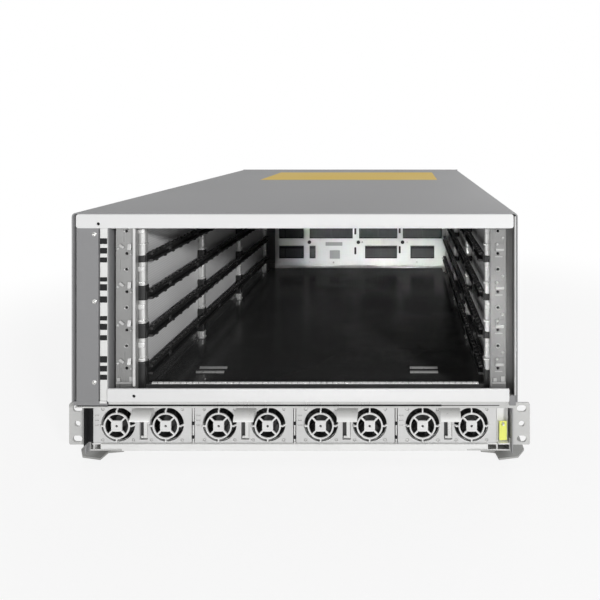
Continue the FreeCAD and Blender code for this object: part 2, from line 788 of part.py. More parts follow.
def service_tag():
    """A plain pull tag hung on the tray's hook."""
    x = tag_middle()
    d = CASE_FRONT + TAG_T
    plate = box(x - TAG_W / 2, x + TAG_W / 2, d - TAG_T, d, TAG_Z, TAG_Z + TAG_H)
    hole_z = TAG_Z + TAG_H - TAG_HOLE_R - TAG_T
    return plate.cut(facet_rod_y(x, hole_z, TAG_HOLE_R, HOLE_SIDES, d - TAG_T, d))


def fan_x(middle):
    """X of the two fans of a supply."""
    return middle - FAN_PITCH / 2, middle + FAN_PITCH / 2


def supply_case(middle):
    """A supply's body with two fan wells, their motor posts and a plug at the back."""
    half = SUPPLY_W / 2
    block = box(middle - half, middle + half, CASE_FRONT, SUPPLY_BACK, SUPPLY_Z, SUPPLY_TOP)
    bottom = CASE_FRONT + FAN_POCKET
    wells = [facet_rod_y(x, FAN_Z, FAN_R, FAN_SIDES, CASE_FRONT, bottom) for x in fan_x(middle)]
    post_d = CASE_FRONT + ROTOR_SET + ROTOR_L + FIT
    posts = [facet_rod_y(x, FAN_Z, STATOR_R, HUB_SIDES, post_d, bottom) for x in fan_x(middle)]
    plug = box(middle - PLUG_W / 2, middle + PLUG_W / 2, SUPPLY_BACK, SUPPLY_BACK + PLUG_L,
               FAN_Z - PLUG_H / 2, FAN_Z + PLUG_H / 2)
    return join([block.cut(wells), plug] + posts)


def spoke(x, z, angle, r0, r1, d0, d1):
    """A flat radial bar at an angle in degrees."""
    half = SPOKE_W / 2
    bar = box(x + r0, x + r1, d0, d1, z - half, z + half)
    return bar.rotate(FreeCAD.Vector(x, 0, z), Y_AXIS, angle)


def fan_guard(x):
    """A raised ring, a hub and four spokes, held off the plate by four struts."""
    d0 = TRAY_FRONT - RING_PROUD
    d1 = d0 + GUARD_T
    ring = facet_rod_y(x, FAN_Z, RING_R, FAN_SIDES, d0, d1)
    hole = facet_rod_y(x, FAN_Z, RING_R - RING_W, FAN_SIDES, d0, d1)
    pieces = [ring.cut(hole), facet_rod_y(x, FAN_Z, GUARD_HUB_R, GUARD_HUB_SIDES, d0, d1)]
    ring_mid = RING_R - RING_W / 2
    for k in range(SPOKES):
        turn = 360 / SPOKES * k
        pieces.append(spoke(x, FAN_Z, turn + 180 / SPOKES, GUARD_HUB_R - RING_W, ring_mid, d0, d1))
        pieces.append(spoke(x, FAN_Z, turn, ring_mid, FAN_R + SPOKE_W / 2, d0, TRAY_FRONT + GUARD_T))
    return pieces


def supply_face(middle):
    """A supply's front plate with two guarded fan holes and the slot of the handle."""
    half = SUPPLY_W / 2
    plate = box(middle - half, middle + half, TRAY_FRONT, CASE_FRONT, SUPPLY_Z, SUPPLY_TOP)
    cuts = [facet_rod_y(x, FAN_Z, FAN_R, FAN_SIDES, TRAY_FRONT, CASE_FRONT) for x in fan_x(middle)]
    x = middle + HANDLE_SHIFT
    slot_half = HANDLE_ARM_W / 2 + FIT
    slot_z = HANDLE_Z - HANDLE_ARM_T / 2 - FIT
    cuts.append(box(x - slot_half, x + slot_half, TRAY_FRONT, CASE_FRONT, slot_z, SUPPLY_Z + GRIP_TOP + FIT))
    plate = plate.cut(cuts)
    guards = [piece for x in fan_x(middle) for piece in fan_guard(x)]
    pin_half = HANDLE_ARM_W / 2 + HANDLE_PIN_L + FIT
    x = middle + HANDLE_SHIFT
    bearing = facet_rod_x(HANDLE_AT, HANDLE_Z, HANDLE_PIN_R + FIT, HOLE_SIDES, x - pin_half, x + pin_half)
    return join([plate] + guards).cut(bearing)


def supply_handle(middle):
    """A lever on a pin low in the face, with a wide grip near the top."""
    x = middle + HANDLE_SHIFT
    half = HANDLE_ARM_W / 2
    pin_half = half + HANDLE_PIN_L
    back = HANDLE_ARM_T / 2
    top = SUPPLY_Z + GRIP_TOP
    grip_back = TRAY_FRONT - FIT
    grip = box(x - GRIP_W / 2, x + GRIP_W / 2, grip_back - GRIP_REACH, grip_back, top - GRIP_H, top)
    front = edges_along(grip, X_AXIS, lambda p: p.y < FRONT + grip_back - GRIP_REACH + FIT)
    pieces = [
        grip.makeChamfer(GRIP_R, front),
        box(x - half, x + half, HANDLE_AT - back, HANDLE_AT + back, HANDLE_Z, top),
        facet_rod_x(HANDLE_AT, HANDLE_Z, back, HOLE_SIDES, x - half, x + half),
        box(x - half, x + half, grip_back - back, HANDLE_AT, top - GRIP_H, top),
        facet_rod_x(HANDLE_AT, HANDLE_Z, HANDLE_PIN_R, HOLE_SIDES, x - pin_half, x + pin_half),
    ]
    return join(pieces)


def blade(r0, r1, chord, thick, pitch):
    """A flat blade along +X, its chord turned away from +Y by the pitch in degrees."""
    plate = Part.makeBox(r1 - r0, chord, thick, FreeCAD.Vector(r0, -chord / 2, -thick / 2))
    return plate.rotate(FreeCAD.Vector(0, 0, 0), X_AXIS, pitch)


def supply_rotor(x):
    """A fan wheel in its well: a hub and pitched blades."""
    d0 = CASE_FRONT + ROTOR_SET
    d1 = d0 + ROTOR_L
    pieces = [facet_rod_y(x, FAN_Z, ROTOR_HUB_R, HUB_SIDES, d0, d1)]
    middle = FreeCAD.Vector(x, FRONT + (d0 + d1) / 2, FAN_Z)
    for k in range(BLADES):
        vane = blade(ROTOR_HUB_R - BLADE_T, ROTOR_R, ROTOR_L, BLADE_T, BLADE_PITCH)
        vane.rotate(FreeCAD.Vector(0, 0, 0), Y_AXIS, 360 * k / BLADES)
        vane.translate(middle)
        pieces.append(vane)
    return join(pieces)


# Rack ears

def left_rack_ear():
    """An angle on the chassis side with two rack slots and a middle hole."""
    z_mid = EAR_Z + EAR_H / 2
    x_hole = -RACK_HOLES / 2
    plate = box(-EAR_SPAN / 2, -HALF_W, EAR_AT, EAR_AT + EAR_T, EAR_Z, EAR_Z + EAR_H)
    corners = edges_along(plate, Y_AXIS, lambda p: p.x < -EAR_SPAN / 2 + FIT)
    plate = plate.makeFillet(EAR_R, corners)
    fold = box(-HALF_W - EAR_T, -HALF_W, EAR_AT, EAR_AT + EAR_FOLD, EAR_Z, EAR_Z + EAR_H)
    run = RACK_SLOT_L / 2 - RACK_SLOT_R
    d1 = EAR_AT + EAR_T
    cuts = [rod_y(x_hole, z_mid, RACK_MID_R, EAR_AT, d1)]
    for z in (z_mid - RACK_PITCH / 2, z_mid + RACK_PITCH / 2):
        cuts.append(box(x_hole - run, x_hole + run, EAR_AT, d1, z - RACK_SLOT_R, z + RACK_SLOT_R))
        for x in (x_hole - run, x_hole + run):
            cuts.append(rod_y(x, z, RACK_SLOT_R, EAR_AT, d1))
    return join([plate, fold]).cut(cuts)


# Fan tray and air filter

def tray_fans():
    """Middles (d, z) of the fan tray's fans."""
    z = (BAY_Z + FAN_TRAY_TOP) / 2
    return [(FAN_TRAY_FRONT + TRAY_FAN_PITCH * (k + 0.5), z) for k in range(TRAY_FANS)]


def pull(x, z, height):
    """A bow handle on the back of a sliding piece."""
    x0 = x - PULL_W / 2
    x1 = x + PULL_W / 2
    z0 = z - height / 2
    z1 = z + height / 2
    outer = box(x0, x1, SHELL_D, BODY_D, z0, z1)
    bend = edges_along(outer, X_AXIS, lambda p: p.y > FRONT + BODY_D - FIT)
    outer = outer.makeFillet(PULL_R, bend)
    return outer.cut(box(x0, x1, SHELL_D, BODY_D - PULL_T, z0 + PULL_T, z1 - PULL_T))


def fan_tray():
    """A sliding frame bored for each fan, with a motor bar across each bore and a pull at the back."""
    x0, x1 = fan_bay()
    frame = box(x0, x1, FAN_TRAY_FRONT, SHELL_D, BAY_Z + FIT, FAN_TRAY_TOP)
    frame = frame.cut([facet_rod_x(d, z, TRAY_FAN_R, FAN_SIDES, x0, x1) for d, z in tray_fans()])
    half = MOTOR_BAR_W / 2
    bar_x = x0 + MOTOR_BAR_T
    reach = TRAY_FAN_R
    bars = [box(x0, bar_x, d - half, d + half, z - reach, z + reach) for d, z in tray_fans()]
    return join([frame, pull((x0 + x1) / 2, (BAY_Z + FAN_TRAY_TOP) / 2, TRAY_PULL_H)] + bars)


def fan_tray_rotor(d, z):
    """A large wheel of the fan tray, close to its motor bar."""
    x0, x1 = fan_bay()
    hub_x = x0 + MOTOR_BAR_T + FIT
    hub_l = x1 - hub_x - ROTOR_SET
    pieces = [facet_rod_x(d, z, TRAY_HUB_R, HUB_SIDES, hub_x, hub_x + hub_l)]
    root = TRAY_HUB_R - 2 * TRAY_BLADE_T
    tip = TRAY_FAN_R - TRAY_TIP_GAP
    for k in range(TRAY_BLADES):
        vane = blade(root, tip, hub_l, TRAY_BLADE_T, BLADE_PITCH)
        vane.rotate(FreeCAD.Vector(0, 0, 0), Y_AXIS, 360 * k / TRAY_BLADES)
        vane.rotate(FreeCAD.Vector(0, 0, 0), Z_AXIS, 90)
        vane.translate(FreeCAD.Vector(hub_x + hub_l / 2, FRONT + d, z))
        pieces.append(vane)
    return join(pieces)


def air_filter():
    """A sliding frame round a thinner sheet of filter foam, with a pull at the back."""
    x0, x1 = filter_bay()
    z0 = BAY_Z + FIT
    frame = box(x0, x1, FILTER_FRONT, SHELL_D, z0, FAN_TRAY_TOP)
    middle = (x0 + x1) / 2
    half = FILTER_MEDIA_T / 2
    inside = (FILTER_FRONT + FILTER_RIM, SHELL_D - FILTER_RIM, z0 + FILTER_RIM, FAN_TRAY_TOP - FILTER_RIM)
    hole = box(x0, x1, *inside)
    media = box(middle - half, middle + half, *inside)
    return join([frame.cut(hole), media, pull(middle, (BAY_Z + FAN_TRAY_TOP) / 2, FILTER_PULL_H)])


# Rear fittings

def ac_inlets():
    """Flanged sockets with three pins, one behind each supply."""
    sockets = []
    for x in supply_x():
        half_w = INLET_W / 2
        half_h = INLET_H / 2
        inset = INLET_FLANGE + FIT
        flange = box(x - half_w, x + half_w, SHELL_D, SHELL_D + INLET_FLANGE,
                     INLET_Z - half_h, INLET_Z + half_h)
        shell = box(x - half_w + inset, x + half_w - inset, SHELL_D - INLET_D, SHELL_D,
                    INLET_Z - half_h + inset, INLET_Z + half_h - inset)
        inset += INLET_WALL
        well = box(x - half_w + inset, x + half_w - inset, SHELL_D - INLET_POCKET, SHELL_D + INLET_FLANGE,
                   INLET_Z - half_h + inset, INLET_Z + half_h - inset)
        body = join([flange, shell]).cut(well)
        pins = []
        pin_d = SHELL_D - INLET_POCKET
        for k in range(PINS):
            pin_x = x + PIN_PITCH * (k - (PINS - 1) / 2)
            pins.append(box(pin_x - PIN_T / 2, pin_x + PIN_T / 2, pin_d, pin_d + PIN_L,
                            INLET_Z - PIN_H / 2, INLET_Z + PIN_H / 2))
        sockets.append(join([body] + pins))
    return Part.makeCompound(sockets)


def power_switch():
    """A rocker in the back wall, resting with its lower half pressed."""
    pivot_d = SHELL_D - SHEET / 2
    half = SWITCH_H / 2
    section = [
        (pivot_d - SWITCH_D, INLET_Z - half / 2),
        (pivot_d, INLET_Z - half),
        (pivot_d + SWITCH_PROUD, INLET_Z - half),
        (pivot_d + SWITCH_PROUD / 2, INLET_Z),
        (pivot_d + SWITCH_PROUD, INLET_Z + half),
        (pivot_d, INLET_Z + half),
        (pivot_d - SWITCH_D, INLET_Z + half / 2),
    ]
    rocker = side_view(section, SWITCH_X - SWITCH_W / 2, SWITCH_X + SWITCH_W / 2)
    return rocker.rotate(FreeCAD.Vector(0, FRONT + pivot_d, INLET_Z), X_AXIS, -SWITCH_TILT)


def build():
    """Every piece by name."""
    pieces = {
        "top_cover": top_cover(),
        "left_side_panel": left_side_panel(),
        "right_side_panel": mirror(left_side_panel()),
        "base_pan": base_pan(),
        "support_rails": support_rails(),
        "mid_shelf": mid_shelf(),
        "rear_panel": rear_panel(),
        "top_bezel": top_bezel(),
        "lower_bezel": lower_bezel(),
        "left_front_panel": left_front_panel(),
        "slot_label_strip": slot_label_strip(),
        "panel_screws": panel_screws(),
        "left_cage_flange": left_cage_flange(),
        "right_cage_flange": right_cage_flange(),
        "left_guide_frame": guide_frame(),
        "right_guide_frame": to_right_wall(guide_frame()),
        "left_card_guides": card_guides(),
        "right_card_guides": to_right_wall(card_guides()),
        "left_air_screen": left_air_screen(),
        "right_air_screen": to_right_wall(left_air_screen()),
        "cage_floor": cage_floor(),
        "cage_roof": cage_roof(),
        "emi_gasket": emi_gasket(),
        "backplane_panel": backplane_panel(),
        "backplane_board": backplane_board(),
        "backplane_connectors": backplane_connectors(),
        "power_tray": power_tray(),
        "service_tag": service_tag(),
        "left_rack_ear": left_rack_ear(),
        "right_rack_ear": mirror(left_rack_ear()),
        "fan_tray": fan_tray(),
        "air_filter": air_filter(),
        "ac_inlets": ac_inlets(),
        "power_switch": power_switch(),
    }
    for number, (d, z) in enumerate(tray_fans(), start=1):
        pieces[f"fan_tray_rotor_{number}"] = fan_tray_rotor(d, z)
    for number, middle in enumerate(supply_x(), start=1):
        left_fan, right_fan = fan_x(middle)
        pieces[f"supply_{number}_case"] = supply_case(middle)
        pieces[f"supply_{number}_face"] = supply_face(middle)
        pieces[f"supply_{number}_handle"] = supply_handle(middle)
        pieces[f"supply_{number}_left_rotor"] = supply_rotor(left_fan)
        pieces[f"supply_{number}_right_rotor"] = supply_rotor(right_fan)
    return pieces


os.makedirs("parts", exist_ok=True)
for name, shape in build().items():
    shape.exportStep(f"parts/{name}.step")
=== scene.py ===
"""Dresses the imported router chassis: camera, stage, light, materials and the fine pieces.

Lengths are millimetres in the part's own frame until TO_METRES turns them into metres. A depth d is measured
back from the front plane, as in the part. The stage, the lamps and the materials are in metres.
"""
import json
import math

import bmesh
import bpy
from mathutils import Matrix, Vector


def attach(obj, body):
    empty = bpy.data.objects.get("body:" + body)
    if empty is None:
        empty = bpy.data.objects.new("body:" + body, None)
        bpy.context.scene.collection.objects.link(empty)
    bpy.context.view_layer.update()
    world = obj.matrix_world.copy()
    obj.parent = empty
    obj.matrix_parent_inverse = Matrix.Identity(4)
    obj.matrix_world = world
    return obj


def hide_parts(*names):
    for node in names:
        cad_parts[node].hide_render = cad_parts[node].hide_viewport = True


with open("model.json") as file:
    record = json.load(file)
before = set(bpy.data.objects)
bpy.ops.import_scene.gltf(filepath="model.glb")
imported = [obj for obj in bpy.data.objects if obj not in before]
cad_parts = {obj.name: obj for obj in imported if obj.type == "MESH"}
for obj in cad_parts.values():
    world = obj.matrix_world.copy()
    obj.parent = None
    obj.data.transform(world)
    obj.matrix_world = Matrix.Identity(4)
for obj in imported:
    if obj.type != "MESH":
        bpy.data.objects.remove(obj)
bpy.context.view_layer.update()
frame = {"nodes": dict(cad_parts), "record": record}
nodes = frame["nodes"]

MM = 0.001
FRONT = -317.75
TO_METRES = Matrix.Translation((0.0, FRONT * MM, 0.0)) @ Matrix.Scale(MM, 4)


# Camera, stage and light

CAMERA_PLACE = (107.0, -573.0, 346.65)
CAMERA_LENS = 34.38
CAMERA_SENSOR = 36.0
CAMERA_SHIFT = (-0.1695, -0.2837)
SURROUND_STRENGTH = 0.27
FLOOR_HALF = 6.0
FLOOR_COLOUR = (0.94, 0.94, 0.94, 1.0)
FLOOR_ROUGH = 0.9
FLOOR_FADE = (0.45, 0.95)
FLOOR_WHITE_NEAR = 0.83
WHITE = (1.0, 1.0, 1.0, 1.0)
SEEN_RAYS = ("Is Camera Ray", "Is Glossy Ray", "Is Transmission Ray")
LAMPS = {
    "key_softbox": dict(place=(1.5, -2.4, 0.95), target=(-0.15, -0.1, 0.13), size=(0.3, 0.24), power=38.0),
    "front_fill": dict(place=(-1.2, -3.0, 0.35), target=(0.1, 0.1, 0.16), size=(0.8, 0.5), power=11.0),
    "cage_fill": dict(place=(0.05, -1.5, 0.25), target=(0.06, 0.227, 0.112), size=(0.28, 0.08), power=0.08,
                      spread=5.0),
    "top_softbox": dict(place=(-0.3, 0.2, 2.2), target=(0.0, 0.0, 0.2), size=(2.2, 2.2), power=12.0),
    "left_fill": dict(place=(-2.2, -0.9, 1.0), target=(0.0, 0.0, 0.13), size=(1.2, 1.2), power=2.0),
    "back_fill": dict(place=(1.2, 2.4, 1.1), target=(0.0, 0.2, 0.13), size=(1.4, 1.2), power=8.0),
}


def make_camera():
    """The photograph's camera: square to the front, up and to the right, framed by shift."""
    data = bpy.data.cameras.new("photo_camera")
    data.sensor_width = CAMERA_SENSOR
    data.lens = CAMERA_LENS
    data.shift_x, data.shift_y = CAMERA_SHIFT
    data.clip_start = 0.01
    data.clip_end = 50.0
    camera = bpy.data.objects.new("photo_camera", data)
    camera.location = TO_METRES @ Vector(CAMERA_PLACE)
    camera.rotation_euler = (math.radians(90.0), 0.0, 0.0)
    bpy.context.scene.collection.objects.link(camera)
    bpy.context.scene.camera = camera


def seen_rays(tree):
    """A socket that is 1 for the rays that show the background and 0 for those that carry light."""
    path = tree.nodes.new("ShaderNodeLightPath")
    value = path.outputs[SEEN_RAYS[0]]
    for kind in SEEN_RAYS[1:]:
        either = tree.nodes.new("ShaderNodeMath")
        either.operation = "MAXIMUM"
        tree.links.new(value, either.inputs[0])
        tree.links.new(path.outputs[kind], either.inputs[1])
        value = either.outputs[0]
    return value


def mix_white(tree, share, lit, white, output):
    """Shows a share of the white shader and the rest of the lit one."""
    mix = tree.nodes.new("ShaderNodeMixShader")
    tree.links.new(share, mix.inputs["Fac"])
    tree.links.new(lit.outputs[0], mix.inputs[1])
    tree.links.new(white.outputs[0], mix.inputs[2])
    tree.links.new(mix.outputs[0], output.inputs["Surface"])


def make_world():
    """A white studio surround that lights softly."""
    world = bpy.data.worlds.new("studio")
    world.use_nodes = True
    tree = world.node_tree
    tree.nodes.clear()
    output = tree.nodes.new("ShaderNodeOutputWorld")
    soft = tree.nodes.new("ShaderNodeBackground")
    soft.inputs["Color"].default_value = WHITE
    soft.inputs["Strength"].default_value = SURROUND_STRENGTH
    white = tree.nodes.new("ShaderNodeBackground")
    white.inputs["Color"].default_value = WHITE
    white.inputs["Strength"].default_value = 1.0
    mix_white(tree, seen_rays(tree), soft, white, output)
    bpy.context.scene.world = world


def make_floor():
    """A wide pale floor that keeps the object's shadow and goes to white further out."""
    mesh = bpy.data.meshes.new("floor")
    corners = [(x * FLOOR_HALF, y * FLOOR_HALF, 0.0) for x, y in ((-1, -1), (1, -1), (1, 1), (-1, 1))]
    mesh.from_pydata(corners, [], [(0, 1, 2, 3)])
    floor = bpy.data.objects.new("floor", mesh)
    bpy.context.scene.collection.objects.link(floor)
    material = bpy.data.materials.new("floor_white")
    material.use_nodes = True
    tree = material.node_tree
    shader = tree.nodes["Principled BSDF"]
    shader.inputs["Base Color"].default_value = FLOOR_COLOUR
    shader.inputs["Roughness"].default_value = FLOOR_ROUGH
    place = tree.nodes.new("ShaderNodeTexCoord")
    reach = tree.nodes.new("ShaderNodeVectorMath")
    reach.operation = "LENGTH"
    tree.links.new(place.outputs["Object"], reach.inputs[0])
    far = tree.nodes.new("ShaderNodeMapRange")
    far.interpolation_type = "SMOOTHSTEP"
    far.inputs["From Min"].default_value = FLOOR_FADE[0]
    far.inputs["From Max"].default_value = FLOOR_FADE[1]
    far.inputs["To Min"].default_value = FLOOR_WHITE_NEAR
    tree.links.new(reach.outputs["Value"], far.inputs["Value"])
    share = tree.nodes.new("ShaderNodeMath")
    share.operation = "MULTIPLY"
    tree.links.new(far.outputs["Result"], share.inputs[0])
    tree.links.new(seen_rays(tree), share.inputs[1])
    white = tree.nodes.new("ShaderNodeEmission")
    mix_white(tree, share.outputs[0], shader, white, tree.nodes["Material Output"])
    mesh.materials.append(material)


def area_light(name, place, target, size, power, spread=180.0):
    """A soft rectangular lamp aimed at a place."""
    data = bpy.data.lights.new(name, "AREA")
    data.shape = "RECTANGLE"
    data.size, data.size_y = size
    data.energy = power
    data.spread = math.radians(spread)
    lamp = bpy.data.objects.new(name, data)
    lamp.location = place
    lamp.rotation_euler = (Vector(target) - Vector(place)).to_track_quat("-Z", "Y").to_euler()
    bpy.context.scene.collection.objects.link(lamp)


make_camera()
make_world()
make_floor()
for lamp_name, lamp_values in LAMPS.items():
    area_light(lamp_name, **lamp_values)
bpy.context.scene.view_settings.view_transform = "Standard"


# Materials

GRAIN_DEPTH = 0.0002
FLAKE_SHARE = 0.4
STREAK_SHARE = 0.5
WELD_GAP = 0.00002
EDGE_EASE = 0.0003
EDGE_ANGLE = math.radians(40.0)
ALONG_X = (0.03, 1.0, 1.0)
ALONG_Z = (1.0, 1.0, 0.03)


class Graph:
    """A material's node tree with short ways to wire it."""

    def __init__(self, name):
        self.material = bpy.data.materials.new(name)
        self.material.use_nodes = True
        self.tree = self.material.node_tree
        self.shader = self.tree.nodes["Principled BSDF"]
        self.place = self.node("ShaderNodeTexCoord").outputs["Object"]

    def link(self, source, target):
        self.tree.links.new(source, target)

    def node(self, kind, **settings):
        made = self.tree.nodes.new(kind)
        for key, value in settings.items():
            setattr(made, key, value)
        return made

    def stretch(self, scale):
        """Object coordinates scaled along each axis."""
        mapping = self.node("ShaderNodeMapping")
        mapping.inputs["Scale"].default_value = scale
        self.link(self.place, mapping.inputs["Vector"])
        return mapping.outputs["Vector"]

    def noise(self, scale, detail, vector=None):
        """A noise value from 0 to 1; scale is cycles per metre."""
        made = self.node("ShaderNodeTexNoise")
        made.inputs["Scale"].default_value = scale
        made.inputs["Detail"].default_value = detail
        self.link(vector or self.place, made.inputs["Vector"])
        return made.outputs["Fac"]

    def cells(self, scale, vector=None, randomness=1.0):
        """A cell texture's node."""
        made = self.node("ShaderNodeTexVoronoi")
        made.inputs["Scale"].default_value = scale
        made.inputs["Randomness"].default_value = randomness
        self.link(vector or self.place, made.inputs["Vector"])
        return made

    def spread(self, value, low, high, from_low=0.3, from_high=0.7):
        """A value mapped to a range."""
        made = self.node("ShaderNodeMapRange")
        made.inputs["From Min"].default_value = from_low
        made.inputs["From Max"].default_value = from_high
        made.inputs["To Min"].default_value = low
        made.inputs["To Max"].default_value = high
        self.link(value, made.inputs["Value"])
        return made.outputs["Result"]

    def blend(self, factor, first, second):
        """Two colours mixed by a factor; a colour is a triple or a socket."""
        made = self.node("ShaderNodeMix", data_type="RGBA")
        self.link(factor, made.inputs["Factor"])
        for socket, colour in ((made.inputs[6], first), (made.inputs[7], second)):
            if isinstance(colour, tuple):
                socket.default_value = (*colour, 1.0)
            else:
                self.link(colour, socket)
        return made.outputs[2]

    def bump(self, height, strength, distance):
        """A bump on the shader's normal."""
        made = self.node("ShaderNodeBump")
        made.inputs["Strength"].default_value = strength
        made.inputs["Distance"].default_value = distance
        self.link(height, made.inputs["Height"])
        self.link(made.outputs["Normal"], self.shader.inputs["Normal"])


def tint(colour, share):
    """A colour made lighter or darker by a share."""
    return tuple(min(1.0, part * (1.0 + share)) for part in colour)


def finish(name, base, vary, rough, rough_vary, grain, bump, metal=0.0, patch=9.0, spangle=0.0,
           stretch=(1.0, 1.0, 1.0), specular=0.5):
    """A surface with slow colour drift, flakes, fine grain in its roughness and a grain bump.

    Patch, grain and spangle are cycles per metre. Stretch draws the grain out along an axis.
    """
    graph = Graph(name)
    shader = graph.shader
    drift = graph.noise(patch, 4.0)
    fine = graph.noise(grain, 2.0, graph.stretch(stretch))
    colour = graph.blend(graph.spread(drift, 0.0, 1.0), tint(base, -vary), tint(base, vary))
    if spangle:
        flakes = graph.cells(spangle)
        tone = graph.node("ShaderNodeSeparateColor")
        graph.link(flakes.outputs["Color"], tone.inputs["Color"])
        factor = graph.spread(tone.outputs[0], 0.0, FLAKE_SHARE, 0.0, 1.0)
        colour = graph.blend(factor, colour, tint(base, -2.0 * vary))
    streak = graph.spread(fine, 0.0, STREAK_SHARE)
    colour = graph.blend(streak, colour, tint(base, -0.7 * vary))
    graph.link(colour, shader.inputs["Base Color"])
    both = graph.node("ShaderNodeMath", operation="ADD")
    graph.link(graph.spread(drift, -rough_vary, rough_vary), both.inputs[0])
    graph.link(graph.spread(fine, rough - rough_vary, rough + rough_vary), both.inputs[1])
    graph.link(both.outputs[0], shader.inputs["Roughness"])
    shader.inputs["Metallic"].default_value = metal
    shader.inputs["Specular IOR Level"].default_value = specular
    graph.bump(fine, bump, GRAIN_DEPTH)
    return graph.material


def pierced(name, base, pitch, share):
    """Sheet metal with rows of small round holes in the YZ plane."""
    graph = Graph(name)
    shader = graph.shader
    grid = graph.cells(1.0, graph.stretch((0.0, 1.0 / pitch, 1.0 / pitch)), 0.0)
    hole = graph.spread(grid.outputs["Distance"], 1.0, 0.0, share - 0.06, share + 0.06)
    drift = graph.noise(14.0, 4.0)
    sheet = graph.blend(graph.spread(drift, 0.0, 1.0), tint(base, -0.05), tint(base, 0.05))
    graph.link(graph.blend(hole, sheet, tint(base, -0.14)), shader.inputs["Base Color"])
    graph.link(graph.spread(drift, 0.42, 0.56), shader.inputs["Roughness"])
    graph.bump(grid.outputs["Distance"], 0.1, 0.0003)
    return graph.material


def foam(name, base):
    """Open-cell foam."""
    graph = Graph(name)
    pores = graph.cells(900.0)
    factor = graph.spread(pores.outputs["Distance"], 0.0, 1.0, 0.0, 0.6)
    graph.link(graph.blend(factor, tint(base, -0.6), tint(base, 0.4)), graph.shader.inputs["Base Color"])
    graph.link(graph.spread(factor, 0.75, 0.95), graph.shader.inputs["Roughness"])
    graph.bump(factor, 0.7, 0.0012)
    return graph.material


def board(name, base, copper):
    """Solder mask over fine copper tracks."""
    graph = Graph(name)
    tracks = graph.cells(260.0, graph.stretch((1.0, 1.0, 0.12)), 0.9)
    tone = graph.spread(tracks.outputs["Distance"], 0.0, 1.0, 0.2, 0.35)
    graph.link(graph.blend(tone, base, copper), graph.shader.inputs["Base Color"])
    graph.link(graph.spread(tone, 0.25, 0.4), graph.shader.inputs["Roughness"])
    graph.bump(tone, 0.2, 0.0001)
    return graph.material


